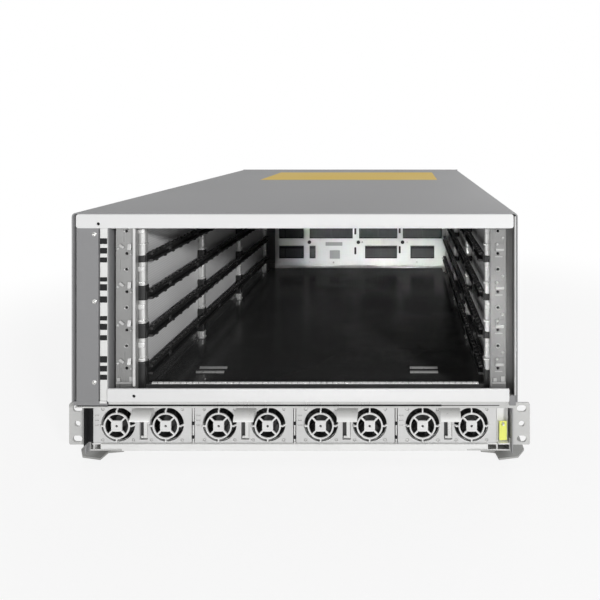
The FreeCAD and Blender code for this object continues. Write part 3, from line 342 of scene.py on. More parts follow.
FINISHES = {
    "cover_paint": dict(base=(0.305, 0.305, 0.31), vary=0.05, rough=0.64, rough_vary=0.05, grain=1400.0,
        bump=0.14, patch=5.0, specular=0.3),
    "pale_trim": dict(base=(0.80, 0.80, 0.80), vary=0.02, rough=0.5, rough_vary=0.05, grain=1800.0,
        bump=0.08),
    "label_white": dict(base=(0.80, 0.80, 0.79), vary=0.03, rough=0.38, rough_vary=0.05, grain=2000.0,
        bump=0.03),
    "screw_steel": dict(base=(0.62, 0.62, 0.61), vary=0.1, rough=0.3, rough_vary=0.06, grain=2400.0,
        bump=0.1, metal=1.0),
    "plated_steel": dict(base=(0.62, 0.62, 0.61), vary=0.09, rough=0.36, rough_vary=0.08, grain=500.0,
        bump=0.06, metal=0.75, patch=22.0, spangle=120.0, stretch=ALONG_Z),
    "tray_steel": dict(base=(0.66, 0.66, 0.65), vary=0.08, rough=0.38, rough_vary=0.08, grain=500.0,
        bump=0.06, metal=0.6, patch=16.0, spangle=110.0, stretch=ALONG_X),
    "rail_paint": dict(base=(0.36, 0.36, 0.35), vary=0.08, rough=0.5, rough_vary=0.06, grain=1200.0,
        bump=0.12),
    "guide_black": dict(base=(0.022, 0.022, 0.022), vary=0.15, rough=0.42, rough_vary=0.08, grain=900.0,
        bump=0.1),
    "cage_black": dict(base=(0.056, 0.056, 0.056), vary=0.15, rough=0.24, rough_vary=0.04, grain=1600.0,
        bump=0.03, patch=7.0),
    "spring_steel": dict(base=(0.75, 0.75, 0.74), vary=0.06, rough=0.22, rough_vary=0.05, grain=900.0,
        bump=0.04, metal=1.0),
    "connector_black": dict(base=(0.016, 0.016, 0.017), vary=0.15, rough=0.66, rough_vary=0.06,
        grain=1500.0, bump=0.06, specular=0.2),
    "ear_paint": dict(base=(0.57, 0.57, 0.56), vary=0.05, rough=0.42, rough_vary=0.06, grain=1400.0,
        bump=0.12),
    "tag_yellow": dict(base=(0.86, 0.90, 0.20), vary=0.05, rough=0.42, rough_vary=0.05, grain=1500.0,
        bump=0.05, patch=60.0),
    "inlet_black": dict(base=(0.02, 0.02, 0.02), vary=0.12, rough=0.45, rough_vary=0.06, grain=1500.0,
        bump=0.1),
    "switch_black": dict(base=(0.025, 0.025, 0.026), vary=0.12, rough=0.32, rough_vary=0.05, grain=1700.0,
        bump=0.05),
    "fan_black": dict(base=(0.028, 0.028, 0.028), vary=0.15, rough=0.4, rough_vary=0.06, grain=1300.0,
        bump=0.06),
    "supply_metal": dict(base=(0.64, 0.64, 0.63), vary=0.08, rough=0.36, rough_vary=0.07, grain=500.0,
        bump=0.05, metal=0.7, patch=12.0, spangle=90.0, stretch=ALONG_X),
    "supply_front": dict(base=(0.66, 0.66, 0.655), vary=0.05, rough=0.4, rough_vary=0.06, grain=700.0,
        bump=0.06, metal=0.35, patch=30.0, stretch=ALONG_X),
    "guard_bright": dict(base=(0.78, 0.78, 0.775), vary=0.04, rough=0.38, rough_vary=0.05, grain=900.0,
        bump=0.05, metal=0.15, patch=40.0),
    "handle_metal": dict(base=(0.78, 0.78, 0.77), vary=0.06, rough=0.34, rough_vary=0.06, grain=800.0,
        bump=0.05, metal=0.2, patch=40.0),
    "post_nickel": dict(base=(0.74, 0.74, 0.73), vary=0.06, rough=0.3, rough_vary=0.06, grain=700.0,
        bump=0.05, metal=0.45, patch=30.0, stretch=ALONG_Z),
    # Partly painted highlight: a lighter copy of the spring steel for the post clips, standing for the bright
    # patch under each guide.
    "clip_painted_highlight": dict(base=(0.86, 0.86, 0.85), vary=0.04, rough=0.26, rough_vary=0.05, grain=1500.0,
        bump=0.04, metal=0.3, patch=60.0),
    "clip_dull": dict(base=(0.74, 0.74, 0.73), vary=0.07, rough=0.28, rough_vary=0.06, grain=1200.0,
        bump=0.06, metal=0.5, patch=50.0),
    "header_grey": dict(base=(0.05, 0.05, 0.051), vary=0.12, rough=0.68, rough_vary=0.05, grain=1800.0,
        bump=0.08, patch=80.0, stretch=ALONG_Z, specular=0.2),
    "flange_zinc": dict(base=(0.29, 0.29, 0.286), vary=0.1, rough=0.36, rough_vary=0.08, grain=500.0,
        bump=0.06, metal=0.4, patch=26.0, spangle=120.0, stretch=ALONG_Z),
    "panel_paint": dict(base=(0.25, 0.25, 0.255), vary=0.04, rough=0.44, rough_vary=0.05, grain=1400.0,
        bump=0.14, patch=7.0),
    "clip_grey": dict(base=(0.12, 0.12, 0.12), vary=0.1, rough=0.34, rough_vary=0.06, grain=1200.0,
        bump=0.06, metal=0.4, patch=50.0),
    # Real lugs and tabs whose light tone is partly painted highlight, lighter than the uprights' zinc.
    "lug_zinc_and_highlight": dict(base=(0.5, 0.5, 0.495), vary=0.08, rough=0.36, rough_vary=0.06, grain=900.0, bump=0.06,
        metal=0.3, patch=60.0),
    # Painted highlight: a light finish for strips on folded edges, much lighter than the paint and zinc they
    # sit on.
    "painted_highlight_edge": dict(base=(0.66, 0.66, 0.655), vary=0.05, rough=0.38, rough_vary=0.05, grain=900.0,
        bump=0.05, metal=0.2, patch=30.0, stretch=ALONG_Z),
    "tray_pale": dict(base=(0.86, 0.86, 0.85), vary=0.05, rough=0.4, rough_vary=0.06, grain=500.0,
        bump=0.06, metal=0.15, patch=16.0, stretch=ALONG_X),
    "patch_grey": dict(base=(0.33, 0.33, 0.33), vary=0.06, rough=0.42, rough_vary=0.05, grain=1200.0,
        bump=0.06, patch=60.0),
    "backplane_white": dict(base=(0.80, 0.80, 0.79), vary=0.03, rough=0.56, rough_vary=0.05, grain=900.0,
        bump=0.04, patch=18.0, stretch=ALONG_X),
    "patch_yellow": dict(base=(0.68, 0.47, 0.07), vary=0.04, rough=0.56, rough_vary=0.05, grain=1500.0,
        bump=0.05, patch=12.0, specular=0.2),
}
materials = {name: finish(name, **values) for name, values in FINISHES.items()}
materials["screen_grey"] = pierced("screen_grey", base=(0.82, 0.82, 0.82), pitch=0.0026, share=0.3)
materials["board_green"] = board("board_green", base=(0.014, 0.02, 0.016), copper=(0.03, 0.044, 0.034))
materials["filter_foam"] = foam("filter_foam", base=(0.05, 0.05, 0.052))
NODE_FINISH = {
    "backplane_panel": "backplane_white",
    "left_cage_flange": "flange_zinc",
    "right_cage_flange": "flange_zinc",
    "left_front_panel": "panel_paint",
    "power_tray": "tray_pale",
}


def dress_cad():
    """Each CAD node takes its slot's material or its own finish, with its sharp edges eased."""
    for part in frame["record"]["subparts"]:
        node = nodes[part["node"]]
        name = NODE_FINISH.get(part["node"], part["material_slot"])
        for slot in node.material_slots:
            slot.material = materials[name]
        join = node.modifiers.new("join", "WELD")
        join.merge_threshold = WELD_GAP
        ease = node.modifiers.new("ease", "BEVEL")
        ease.width = EDGE_EASE
        ease.segments = 2
        ease.limit_method = "ANGLE"
        ease.angle_limit = EDGE_ANGLE
        ease.use_clamp_overlap = True


dress_cad()


# Shape helpers

DOUBLES = 0.002
SHARP_ANGLE = math.radians(35.0)
SMOOTH_ANGLE = math.radians(8.0)
FLAT_ANGLE = 0.004
AREA_STEP = 4.0


def arc(u, v, radius, first, last, steps=6):
    """Corners along an arc between two angles, which are given in quarter turns."""
    turns = [math.pi / 2 * (first + (last - first) * k / steps) for k in range(steps + 1)]
    return [(u + radius * math.cos(turn), v + radius * math.sin(turn)) for turn in turns]


def circle(u, v, radius, count):
    """Corners of a round loop."""
    turns = [2.0 * math.pi * k / count for k in range(count)]
    return [(u + radius * math.cos(turn), v + radius * math.sin(turn)) for turn in turns]


def rounded(u0, u1, v0, v1, radius, steps=6):
    """A rectangle with round corners."""
    left, right = u0 + radius, u1 - radius
    low, high = v0 + radius, v1 - radius
    loop = []
    for quarter, (u, v) in enumerate(((right, high), (left, high), (left, low), (right, low))):
        loop += arc(u, v, radius, quarter, quarter + 1, steps)
    return loop


class Shape:
    """Solids of one piece, in millimetres of X, depth and height."""

    def __init__(self):
        self.bm = bmesh.new()

    def count(self):
        """How many corners there are so far."""
        return len(self.bm.verts)

    def block(self, x0, x1, d0, d1, z0, z1, ease, turn=None, segments=2):
        """A block with eased edges, turned by a matrix about its middle."""
        middle = Vector(((x0 + x1) / 2, (d0 + d1) / 2, (z0 + z1) / 2))
        size = Matrix.Diagonal((x1 - x0, d1 - d0, z1 - z0, 1.0))
        matrix = Matrix.Translation(middle) @ (turn or Matrix()) @ size
        made = bmesh.ops.create_cube(self.bm, size=1.0, matrix=matrix)
        edges = {edge for vert in made["verts"] for edge in vert.link_edges}
        bmesh.ops.bevel(self.bm, geom=list(edges), offset=ease, segments=segments, affect="EDGES",
                        clamp_overlap=True, profile=0.5)

    def lathe(self, profile, centre, axis, sides):
        """A profile of (radius, distance along the axis) turned about an axis through a centre."""
        rings = []
        for radius, along in profile:
            ring = []
            for k in range(1 if radius == 0 else sides):
                angle = 2.0 * math.pi * k / sides
                u = radius * math.cos(angle)
                v = radius * math.sin(angle)
                place = {"X": (along, u, v), "Y": (u, along, v)}[axis]
                ring.append(self.bm.verts.new(Vector(centre) + Vector(place)))
            rings.append(ring)
        for low, high in zip(rings, rings[1:]):
            for k in range(sides):
                after = (k + 1) % sides
                corners = [low[k % len(low)], low[after % len(low)]]
                corners += [high[after % len(high)], high[k % len(high)]]
                unique = list(dict.fromkeys(corners))
                if len(unique) > 2:
                    self.bm.faces.new(unique)

    def rod(self, start, length, radius, sides, ease):
        """A round bar along X with eased ends."""
        ends = [(0.0, 0.0), (radius - ease, 0.0), (radius, ease)]
        ends += [(radius, length - ease), (radius - ease, length), (0.0, length)]
        self.lathe(ends, start, "X", sides)

    def plate(self, loops, low, high, ease, lay="front"):
        """A flat plate with holes: loops of (x, z) between two depths, or of (x, d) lying flat."""
        middle = (low + high) / 2
        turns = {
            "front": Matrix(((1, 0, 0, 0), (0, 0, -1, middle), (0, 1, 0, 0), (0, 0, 0, 1))),
            "flat": Matrix(((1, 0, 0, 0), (0, 1, 0, 0), (0, 0, 1, middle), (0, 0, 0, 1))),
        }
        curve = bpy.data.curves.new("plate", "CURVE")
        curve.dimensions = "2D"
        curve.fill_mode = "BOTH"
        curve.extrude = (high - low) / 2 - ease
        curve.bevel_depth = ease
        curve.bevel_resolution = 1
        curve.offset = -ease
        for loop in loops:
            spline = curve.splines.new("POLY")
            spline.points.add(len(loop) - 1)
            for spot, (u, v) in zip(spline.points, loop):
                spot.co = (u, v, 0.0, 1.0)
            spline.use_cyclic_u = True
        holder = bpy.data.objects.new("plate", curve)
        bpy.context.scene.collection.objects.link(holder)
        bpy.context.view_layer.update()
        depsgraph = bpy.context.evaluated_depsgraph_get()
        mesh = bpy.data.meshes.new_from_object(holder.evaluated_get(depsgraph))
        bpy.data.objects.remove(holder)
        mesh.transform(turns[lay])
        self.bm.from_mesh(mesh)
        bpy.data.meshes.remove(mesh)

    def bar(self, outline, x0, x1):
        """An outline of (d, z) pushed across in X, ends closed."""
        rows = [[self.bm.verts.new((x, d, z)) for d, z in outline] for x in (x0, x1)]
        count = len(outline)
        for k in range(count):
            after = (k + 1) % count
            self.bm.faces.new((rows[0][k], rows[0][after], rows[1][after], rows[1][k]))
        self.bm.faces.new(rows[0][::-1])
        self.bm.faces.new(rows[1])

    def spin(self, first, centre, angle):
        """Turns the vertices made since a count about the depth axis through a centre."""
        self.bm.verts.ensure_lookup_table()
        turn = Matrix.Rotation(angle, 4, "Y")
        move = Matrix.Translation(centre) @ turn @ Matrix.Translation(-Vector(centre))
        bmesh.ops.transform(self.bm, matrix=move, verts=self.bm.verts[first:])


def is_crease(edge):
    """True where an edge is sharp, or bounds a flat run that has to stay flat."""
    if len(edge.link_faces) != 2:
        return True
    angle = edge.calc_face_angle(0.0)
    if angle > SHARP_ANGLE:
        return True
    if angle < SMOOTH_ANGLE:
        return False
    small, large = sorted(face.calc_area() for face in edge.link_faces)
    if large > AREA_STEP * small:
        return True
    for face in edge.link_faces:
        beside = [e for e in face.edges if e is not edge and len(e.link_faces) == 2]
        if any(e.calc_face_angle(1.0) < FLAT_ANGLE for e in beside):
            return True
    return False


def put(name, shape, slot, body="chassis", replaces=(), look=None):
    """Turns a shape into a piece that rides on a body, in its slot's material or another look."""
    bm = shape.bm
    bmesh.ops.remove_doubles(bm, verts=bm.verts, dist=DOUBLES)
    bmesh.ops.recalc_face_normals(bm, faces=bm.faces)
    for face in bm.faces:
        face.smooth = True
    for edge in bm.edges:
        edge.smooth = not is_crease(edge)
    mesh = bpy.data.meshes.new(name)
    bm.to_mesh(mesh)
    bm.free()
    mesh.transform(TO_METRES)
    mesh.materials.append(materials[look or slot])
    piece = bpy.data.objects.new(name, mesh)
    bpy.context.scene.collection.objects.link(piece)
    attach(piece, body)
    if replaces:
        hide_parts(*replaces)


# Fan wheels

SMALL_BLADE = dict(count=5, root=6.6, tip=16.6, chord=11.0, pitch_root=34.0, pitch_tip=52.0, thick=1.3,
                   sweep=2.0)
LARGE_BLADE = dict(count=7, root=23.0, tip=62.4, chord=30.0, pitch_root=36.0, pitch_tip=58.0, thick=2.2,
                   sweep=6.0)
BLADE_ROWS = 8
BLADE_COLUMNS = 7


def blade_point(blade, angle, u, v, side):
    """A place on a blade's surface as (along the axis, two across), from root to tip and across the chord."""
    radius = blade["root"] + (blade["tip"] - blade["root"]) * u
    pitch = math.radians(blade["pitch_root"] + (blade["pitch_tip"] - blade["pitch_root"]) * u)
    width = blade["chord"] * (0.82 + 0.3 * u - 0.24 * u ** 4)
    camber = 0.12 * width * (1.0 - 4.0 * v * v)
    lift = blade["thick"] * (0.5 if side else -0.5) * (1.0 - 0.6 * abs(2.0 * v))
    axial = width * v * math.cos(pitch) + (camber + lift) * math.sin(pitch)
    around = width * v * math.sin(pitch) - (camber + lift) * math.cos(pitch) + blade["sweep"] * u * u
    turn = angle + around / radius
    return axial, radius * math.cos(turn), radius * math.sin(turn)


def twisted_blade(shape, blade, centre, axis, angle):
    """A cambered fan blade whose pitch eases from root to tip, with rounded corners."""
    rows = {}
    for side in (0, 1):
        for i in range(BLADE_ROWS + 1):
            for j in range(BLADE_COLUMNS + 1):
                axial, a, b = blade_point(blade, angle, i / BLADE_ROWS, j / BLADE_COLUMNS - 0.5, side)
                place = {"X": (axial, a, b), "Y": (a, axial, b)}[axis]
                rows[side, i, j] = shape.bm.verts.new(Vector(centre) + Vector(place))
    faces = shape.bm.faces
    for i in range(BLADE_ROWS):
        for j in range(BLADE_COLUMNS):
            for side in (0, 1):
                near = [rows[side, i, j], rows[side, i + 1, j]]
                faces.new(near + [rows[side, i + 1, j + 1], rows[side, i, j + 1]])
        for j in (0, BLADE_COLUMNS):
            faces.new([rows[0, i, j], rows[0, i + 1, j], rows[1, i + 1, j], rows[1, i, j]])
    for j in range(BLADE_COLUMNS):
        for i in (0, BLADE_ROWS):
            faces.new([rows[0, i, j], rows[0, i, j + 1], rows[1, i, j + 1], rows[1, i, j]])


def fan_wheel(name, rotor, hub, sides, blade, centre, axis):
    """A fan wheel with a domed hub and twisted blades, in place of a rotor's node."""
    wheel = Shape()
    wheel.lathe(hub, centre, axis, sides)
    for k in range(blade["count"]):
        twisted_blade(wheel, blade, centre, axis, 2.0 * math.pi * k / blade["count"])
    put(name, wheel, "fan_black", rotor, (rotor,))


# Power supplies

SUPPLY_MIDDLE = -4.9
SUPPLY_PITCH = 106.1
SUPPLY_X = [SUPPLY_MIDDLE + SUPPLY_PITCH * (k - 1.5) for k in range(4)]
FAN_OFFSETS = (-25.5, 25.5)
FAN_Z = 38.4
FAN_HOLE = 17.7
WHEEL_D = 39.5
SMALL_HUB = [(0.0, -5.3), (5.6, -5.3), (6.7, -4.9), (7.0, -4.1), (7.0, 5.1), (6.6, 5.5), (0.0, 5.5)]
RING_FRONT = 22.5
RING_BACK = 24.4
GUARD_RING = [(12.0, 23.0), (12.4, 22.5), (13.35, 22.5), (13.75, 23.0), (13.75, 24.0), (13.2, 24.4),
              (12.5, 24.4), (12.0, 24.0), (12.0, 23.0)]
LEG_ANGLE = math.radians(48.0)
FACE_FRONT = 26.0
FACE_BACK = 30.0
FACE_HALF = 51.5
FACE_Z = (19.3, 57.5)
FACE_SCREW = [(0.0, 0.7), (0.5, 0.7), (0.5, 0.35), (1.35, 0.45), (1.6, 0.9), (1.6, 3.6)]
SCREW_OFFSET = 16.0
STATUS_X = (-49.8, -45.6)
STATUS_Z = (38.0, 43.0, 48.0)
HANDLE_SHIFT = 3.0
SLOT_X = (-6.0, 2.4)
SLOT_Z = (22.4, 52.0)
LEVER_Z = 24.7
LEVER_ARCH = [(25.6, 32.0), (22.0, 31.7), (18.0, 30.5), (14.8, 28.3), (12.6, 25.4), (12.0, 23.5),
              (13.3, 23.3), (14.0, 24.9), (16.0, 27.0), (18.8, 28.8), (22.2, 29.9), (25.6, 30.2)]
LEVER_CHEEK = [(25.6, 31.6), (22.0, 31.3), (18.0, 30.1), (15.0, 27.9), (12.9, 25.2), (12.5, 23.9),
               (25.6, 24.6)]
DUCT_WALL = [(17.15, 30.1), (17.65, 30.1), (17.65, 46.6), (0.0, 46.6), (0.0, 45.6), (17.15, 45.6),
             (17.15, 30.1)]


def fan_guard(shape, x):
    """A raised ring with a rounded square hub, diagonal spokes and struts back to the plate."""
    centre = (x, 0.0, FAN_Z)
    d0 = RING_FRONT + 0.1
    d1 = RING_BACK - 0.1
    shape.lathe(GUARD_RING, centre, "Y", 56)
    hub = [rounded(x - 5.6, x + 5.6, FAN_Z - 5.6, FAN_Z + 5.6, 2.4), circle(x, FAN_Z, 1.3, 16)]
    shape.plate(hub, RING_FRONT, RING_BACK, 0.35)
    leg = Matrix.Rotation(LEG_ANGLE, 4, "Z")
    for k in range(4):
        quarter = math.pi / 2 * k
        first = shape.count()
        shape.block(x + 6.2, x + 12.6, d0, d1, FAN_Z - 0.85, FAN_Z + 0.85, 0.3)
        shape.spin(first, centre, math.pi / 4 + quarter)
        first = shape.count()
        shape.block(x + 13.2, x + 16.6, d0, d1, FAN_Z - 0.8, FAN_Z + 0.8, 0.3)
        shape.block(x + 14.0, x + 19.0, d0 + 1.1, d1 + 1.1, FAN_Z - 0.8, FAN_Z + 0.8, 0.3, leg)
        shape.spin(first, centre, quarter)


def supply_front(number, middle):
    """The front plate with its fan holes, handle slot, corner screws, status windows and fan guards."""
    body = f"supply_{number}"
    handle = middle + HANDLE_SHIFT
    face = Shape()
    screws = Shape()
    guards = Shape()
    loops = [rounded(middle - FACE_HALF, middle + FACE_HALF, *FACE_Z, 1.2)]
    loops.append(rounded(handle + SLOT_X[0], handle + SLOT_X[1], *SLOT_Z, 0.8, 3))
    for offset in FAN_OFFSETS:
        x = middle + offset
        fan_guard(guards, x)
        loops.append(circle(x, FAN_Z, FAN_HOLE, 64))
        for corner in (x - SCREW_OFFSET, x + SCREW_OFFSET):
            if abs(corner - handle) > 4.5:
                for z in (FAN_Z - SCREW_OFFSET, FAN_Z + SCREW_OFFSET):
                    loops.append(circle(corner, z, 1.7, 16))
                    screws.lathe(FACE_SCREW, (corner, FACE_FRONT, z), "Y", 16)
    left, right = middle + STATUS_X[0], middle + STATUS_X[1]
    for z in STATUS_Z:
        loops.append(rounded(left, right, z - 0.6, z + 0.6, 0.5, 3))
    face.plate(loops, FACE_FRONT, FACE_BACK, 0.35)
    for z in STATUS_Z:
        face.block(left + 0.3, right - 0.3, FACE_FRONT + 0.4, FACE_BACK - 0.4, z - 0.4, z + 0.4, 0.1)
    put(f"{body}_front", face, "supply_front", body, (f"{body}_face",))
    put(f"{body}_guards", guards, "supply_front", body, look="guard_bright")
    put(f"{body}_face_screws", screws, "screw_steel", body)


def supply_lever(number, middle):
    """A lever of formed plate: an arched grip with cheeks, an arm and its pin."""
    lever = Shape()
    handle = f"supply_{number}_handle"
    x = middle + HANDLE_SHIFT
    lever.bar([(d, LEVER_Z + z) for d, z in LEVER_ARCH], x - 10.4, x + 10.4)
    for rib in (x - 9.4, x + 9.4):
        lever.bar([(d, LEVER_Z + z) for d, z in LEVER_CHEEK], rib - 0.6, rib + 0.6)
    lever.block(x - 10.2, x + 10.2, 24.2, 25.6, LEVER_Z + 25.0, LEVER_Z + 31.6, 0.4)
    lever.block(x - 2.0, x + 2.0, 25.0, 29.4, LEVER_Z + 25.2, LEVER_Z + 31.8, 0.5)
    lever.block(x - 2.0, x + 2.0, 26.6, 29.4, LEVER_Z - 0.6, LEVER_Z + 31.8, 0.5)
    lever.rod((x - 2.0, 28.0, LEVER_Z), 4.0, 1.4, 20, 0.2)
    lever.rod((x - 5.0, 28.0, LEVER_Z), 10.0, 1.2, 16, 0.2)
    put(f"supply_{number}_lever", lever, "handle_metal", handle, (handle,))


for number, middle in enumerate(SUPPLY_X, start=1):
    supply_front(number, middle)
    supply_lever(number, middle)
    for side, offset in zip(("left", "right"), FAN_OFFSETS):
        wheel_name = f"supply_{number}_{side}"
        wheel_centre = (middle + offset, WHEEL_D, FAN_Z)
        fan_wheel(f"{wheel_name}_wheel", f"{wheel_name}_rotor", SMALL_HUB, 36, SMALL_BLADE, wheel_centre, "Y")


# Bezels, front panel and strip

LAMP_RADIUS = 1.6
STRIP_X = (-195.9, -188.8)
STRIP_MARKS = ((231.9, 237.7), (222.3, 228.1), (213.4, 218.5), (194.2, 198.6), (185.1, 191.6), (173.0, 179.4),
               (155.1, 159.6), (145.6, 151.9), (135.2, 140.4), (112.8, 119.3), (103.8, 109.6), (95.5, 100.7))
PANEL_FRONT = 2.5
PANEL_SCREW_X = -201.0
PANEL_SCREW_Z = (93.5, 174.5, 242.0)
PANEL_SCREW = [(0.0, 2.4), (1.3, 2.2), (1.4, 0.5), (1.8, 0.3), (2.2, 0.55), (2.45, 1.0), (2.45, 4.0),
               (0.0, 4.0)]


def bezel(node, x, z, back, corner, lamp):
    """A pale bar with eased edges and a small lamp hole with its dark lens."""
    bar = Shape()
    bar.plate([rounded(*x, *z, corner), circle(*lamp, LAMP_RADIUS, 24)], 0.0, back, 0.5)
    put(f"{node}_bar", bar, "pale_trim", "chassis", (node,))
    lens = Shape()
    profile = [(0.0, 0.5), (1.0, 0.6), (1.55, 1.0), (LAMP_RADIUS, back - 0.4), (0.0, back - 0.4)]
    lens.lathe(profile, (lamp[0], 0.0, lamp[1]), "Y", 24)
    put(f"{node}_bar_lamp", lens, "connector_black")


def strip_marks():
    """Plain dark fields on the strip, one group of three to a slot."""
    marks = Shape()
    for low, high in STRIP_MARKS:
        marks.plate([rounded(*STRIP_X, low, high, 0.5, 3)], 2.36, PANEL_FRONT, 0.04)
    put("strip_marks", marks, "connector_black")


def panel_screw_heads():
    """Pan heads with a driver recess, set in shallow dishes."""
    heads = Shape()
    for z in PANEL_SCREW_Z:
        heads.lathe(PANEL_SCREW, (PANEL_SCREW_X, 0.0, z), "Y", 28)
    put("panel_screw_heads", heads, "screw_steel", "chassis", ("panel_screws",))


def front_edges():
    """Folded edges of the right side and the left upright as strips in a light finish that paints their
    highlight, and the feet of panels and strip.
    """
    edges = Shape()
    # Two edge strips whose light colour is painted highlight: the right side's fold and the left upright's
    # edge.
    edges.block(220.0, 221.65, 0.6, 2.4, 80.6, 260.0, 0.5, None, 3)
    edges.block(-164.3, -161.5, 4.2, 6.2, 87.6, 247.9, 0.8, None, 4)
    put("painted_highlight_edges", edges, "plated_steel", look="painted_highlight_edge")
    feet = Shape()
    feet.block(-221.5, -196.1, 1.0, PANEL_FRONT, 70.4, 74.5, 0.2)
    feet.block(-196.1, -187.8, 1.0, PANEL_FRONT, 70.4, 72.2, 0.2)
    feet.block(214.9, 221.5, 0.8, PANEL_FRONT, 70.4, 80.6, 0.2)
    put("panel_feet", feet, "cover_paint", look="panel_paint")
    tail = Shape()
    tail.block(*STRIP_X, 1.2, PANEL_FRONT, 72.2, 74.5, 0.2)
    put("strip_tail", tail, "label_white")


bezel("top_bezel", x=(-219.0, 219.0), z=(248.0, 262.15), back=9.0, corner=2.6, lamp=(-196.7, 252.45))
bezel("lower_bezel", x=(-187.7, 214.8), z=(74.4, 87.4), back=2.5, corner=0.9, lamp=(-161.0, 80.0))
strip_marks()
panel_screw_heads()
front_edges()


# Card cage

SLOT_LEVELS = [94.0 + 38.9 * k for k in range(4)]
POST_DEPTHS = [17.0 + 523.0 * k / 3 for k in range(4)]
CAGE_SIDES = {"left": (-164.0, 1.0), "right": (200.5, -1.0)}
CAGE_FLOOR = 70.0
CAGE_ROOF = 253.6
GUIDE_BACK = 534.0
TOOTH_COUNT = 46
TOOTH_PITCH = 11.0
GUIDE_CLIPS = (64.0, 150.0, 236.0, 322.0, 408.0, 494.0)
GUIDE_RING = [(2.0, 0.0), (2.8, 0.3), (3.2, 0.0), (2.8, -0.5), (2.0, 0.0)]
RIB_SPANS = ((-127.2, -95.2), (116.4, 148.4))
RIB_DEPTHS = (80.0, 92.0)
RIB = [(-1.6, 0.0), (-0.5, 1.9), (0.0, 2.2), (0.5, 1.9), (1.6, 0.0)]
GASKET_X = (-149.5, 186.0)
FINGER_COUNT = 56
FINGER = [(14.1, 86.3), (14.6, 87.0), (15.4, 87.6), (16.2, 87.8), (17.2, 87.4), (17.9, 86.7), (17.9, 86.3)]
FLANGE_X = ((-183.6, -165.0), (199.0, 212.6))
FLANGE_DOME = [(0.0, 8.9), (0.8, 9.1), (1.4, 9.6), (1.6, 10.1)]
FLANGE_RIM = [(1.45, 10.1), (1.5, 9.3), (2.0, 9.0), (2.5, 9.5), (2.6, 10.1)]


def span(side, near, far):
    """An X range from two distances off a side wall of the cage."""
    wall, sign = CAGE_SIDES[side]
    return sorted((wall + sign * near, wall + sign * far))


def guide_frame(side):
    """Four posts on foot plates, with a ledge, a clip in a light finish that is partly painted highlight and
    a black sleeve at each slot; on the left the sleeves reach higher, as painted shadow.
    """
    tubes = Shape()
    clips = Shape()
    sleeves = Shape()
    for d in POST_DEPTHS:
        tubes.block(*span(side, 0.4, 8.6), d - 4.5, d + 4.5, CAGE_FLOOR, CAGE_ROOF, 2.6, None, 4)
        tubes.block(*span(side, 0.1, 9.4), d - 5.4, d + 4.9, CAGE_FLOOR, CAGE_FLOOR + 1.2, 0.3)
        tubes.block(*span(side, 0.1, 9.0), d - 5.2, d + 4.0, 77.2, 78.2, 0.3)
        for level in SLOT_LEVELS:
            # A clip under each guide, in a light finish that is partly painted highlight.
            clips.block(*span(side, 0.3, 8.4), d - 5.2, d - 1.0, level + 29.6, level + 35.4, 1.2, None, 3)
            tubes.block(*span(side, 2.8, 10.2), d - 7.4, d + 1.0, level + 18.5, level + 19.6, 0.3)
    # On the left the black sleeves reach 15.6 mm above a guide instead of 7.6 mm, except at the top slot: the
    # part above the guide's own end is painted shadow.
    low_rise = 7.6
    rise = 15.6 if side == "left" else low_rise
    for d in POST_DEPTHS[:3]:
        for level in SLOT_LEVELS:
            top = level + (low_rise if level == SLOT_LEVELS[-1] else rise)
            base = 79.0 if level == SLOT_LEVELS[0] else level + 0.2
            sleeves.block(*span(side, 0.1, 9.2), d - 5.3, d + 5.3, base, top, 1.6, None, 3)
    put(f"{side}_post_sleeves_and_shadow", sleeves, "guide_black")
    put(f"{side}_posts", tubes, "plated_steel", "chassis", (f"{side}_guide_frame",), "post_nickel")
    put(f"{side}_post_clips", clips, "spring_steel", look="clip_painted_highlight")


def card_guides(side):
    """Moulded channels with teeth on their edges, and small ring clips along them."""
    wall, sign = CAGE_SIDES[side]
    rails = Shape()
    rings = Shape()
    for level in SLOT_LEVELS:
        rails.block(*span(side, 8.0, 9.8), 14.0, GUIDE_BACK, level + 0.1, level + 9.1, 0.3)
        rails.block(*span(side, 8.2, 14.4), 18.0, GUIDE_BACK, level + 0.1, level + 2.6, 0.4)
        rails.block(*span(side, 8.2, 13.6), 20.0, GUIDE_BACK, level + 6.6, level + 9.1, 0.4)
        for k in range(TOOTH_COUNT):
            d = 24.0 + TOOTH_PITCH * k
            rails.block(*span(side, 10.0, 13.4), d, d + 4.4, level + 8.6, level + 10.6, 0.5)
            if k % 2 == 0:
                rails.block(*span(side, 11.0, 14.2), d + 5.0, d + 8.6, level - 1.4, level + 1.0, 0.4)
        for d in GUIDE_CLIPS:
            rings.lathe(GUIDE_RING, (wall + sign * 13.8, d, level + 4.6), "X", 20)
            rings.block(*span(side, 9.4, 14.0), d - 0.8, d + 0.8, level + 3.8, level + 5.4, 0.3)
    put(f"{side}_guides", rails, "guide_black", "chassis", (f"{side}_card_guides",))
    put(f"{side}_guide_clips", rings, "guide_black", look="clip_grey")


def wall_base(side):
    """The dark kick strip of a side wall under the lowest guide, and the ties at floor and roof."""
    strip = Shape()
    for d0, d1 in zip(POST_DEPTHS, POST_DEPTHS[1:]):
        strip.block(*span(side, 0.0, 0.7), d0 + 4.8, d1 - 4.8, CAGE_FLOOR, SLOT_LEVELS[0], 0.15)
        for z0 in (CAGE_FLOOR, CAGE_ROOF - 2.6):
            strip.block(*span(side, 0.2, 3.0), d0 + 4.6, d1 - 4.6, z0, z0 + 2.6, 0.4)
    put(f"{side}_wall_base", strip, "cage_black")


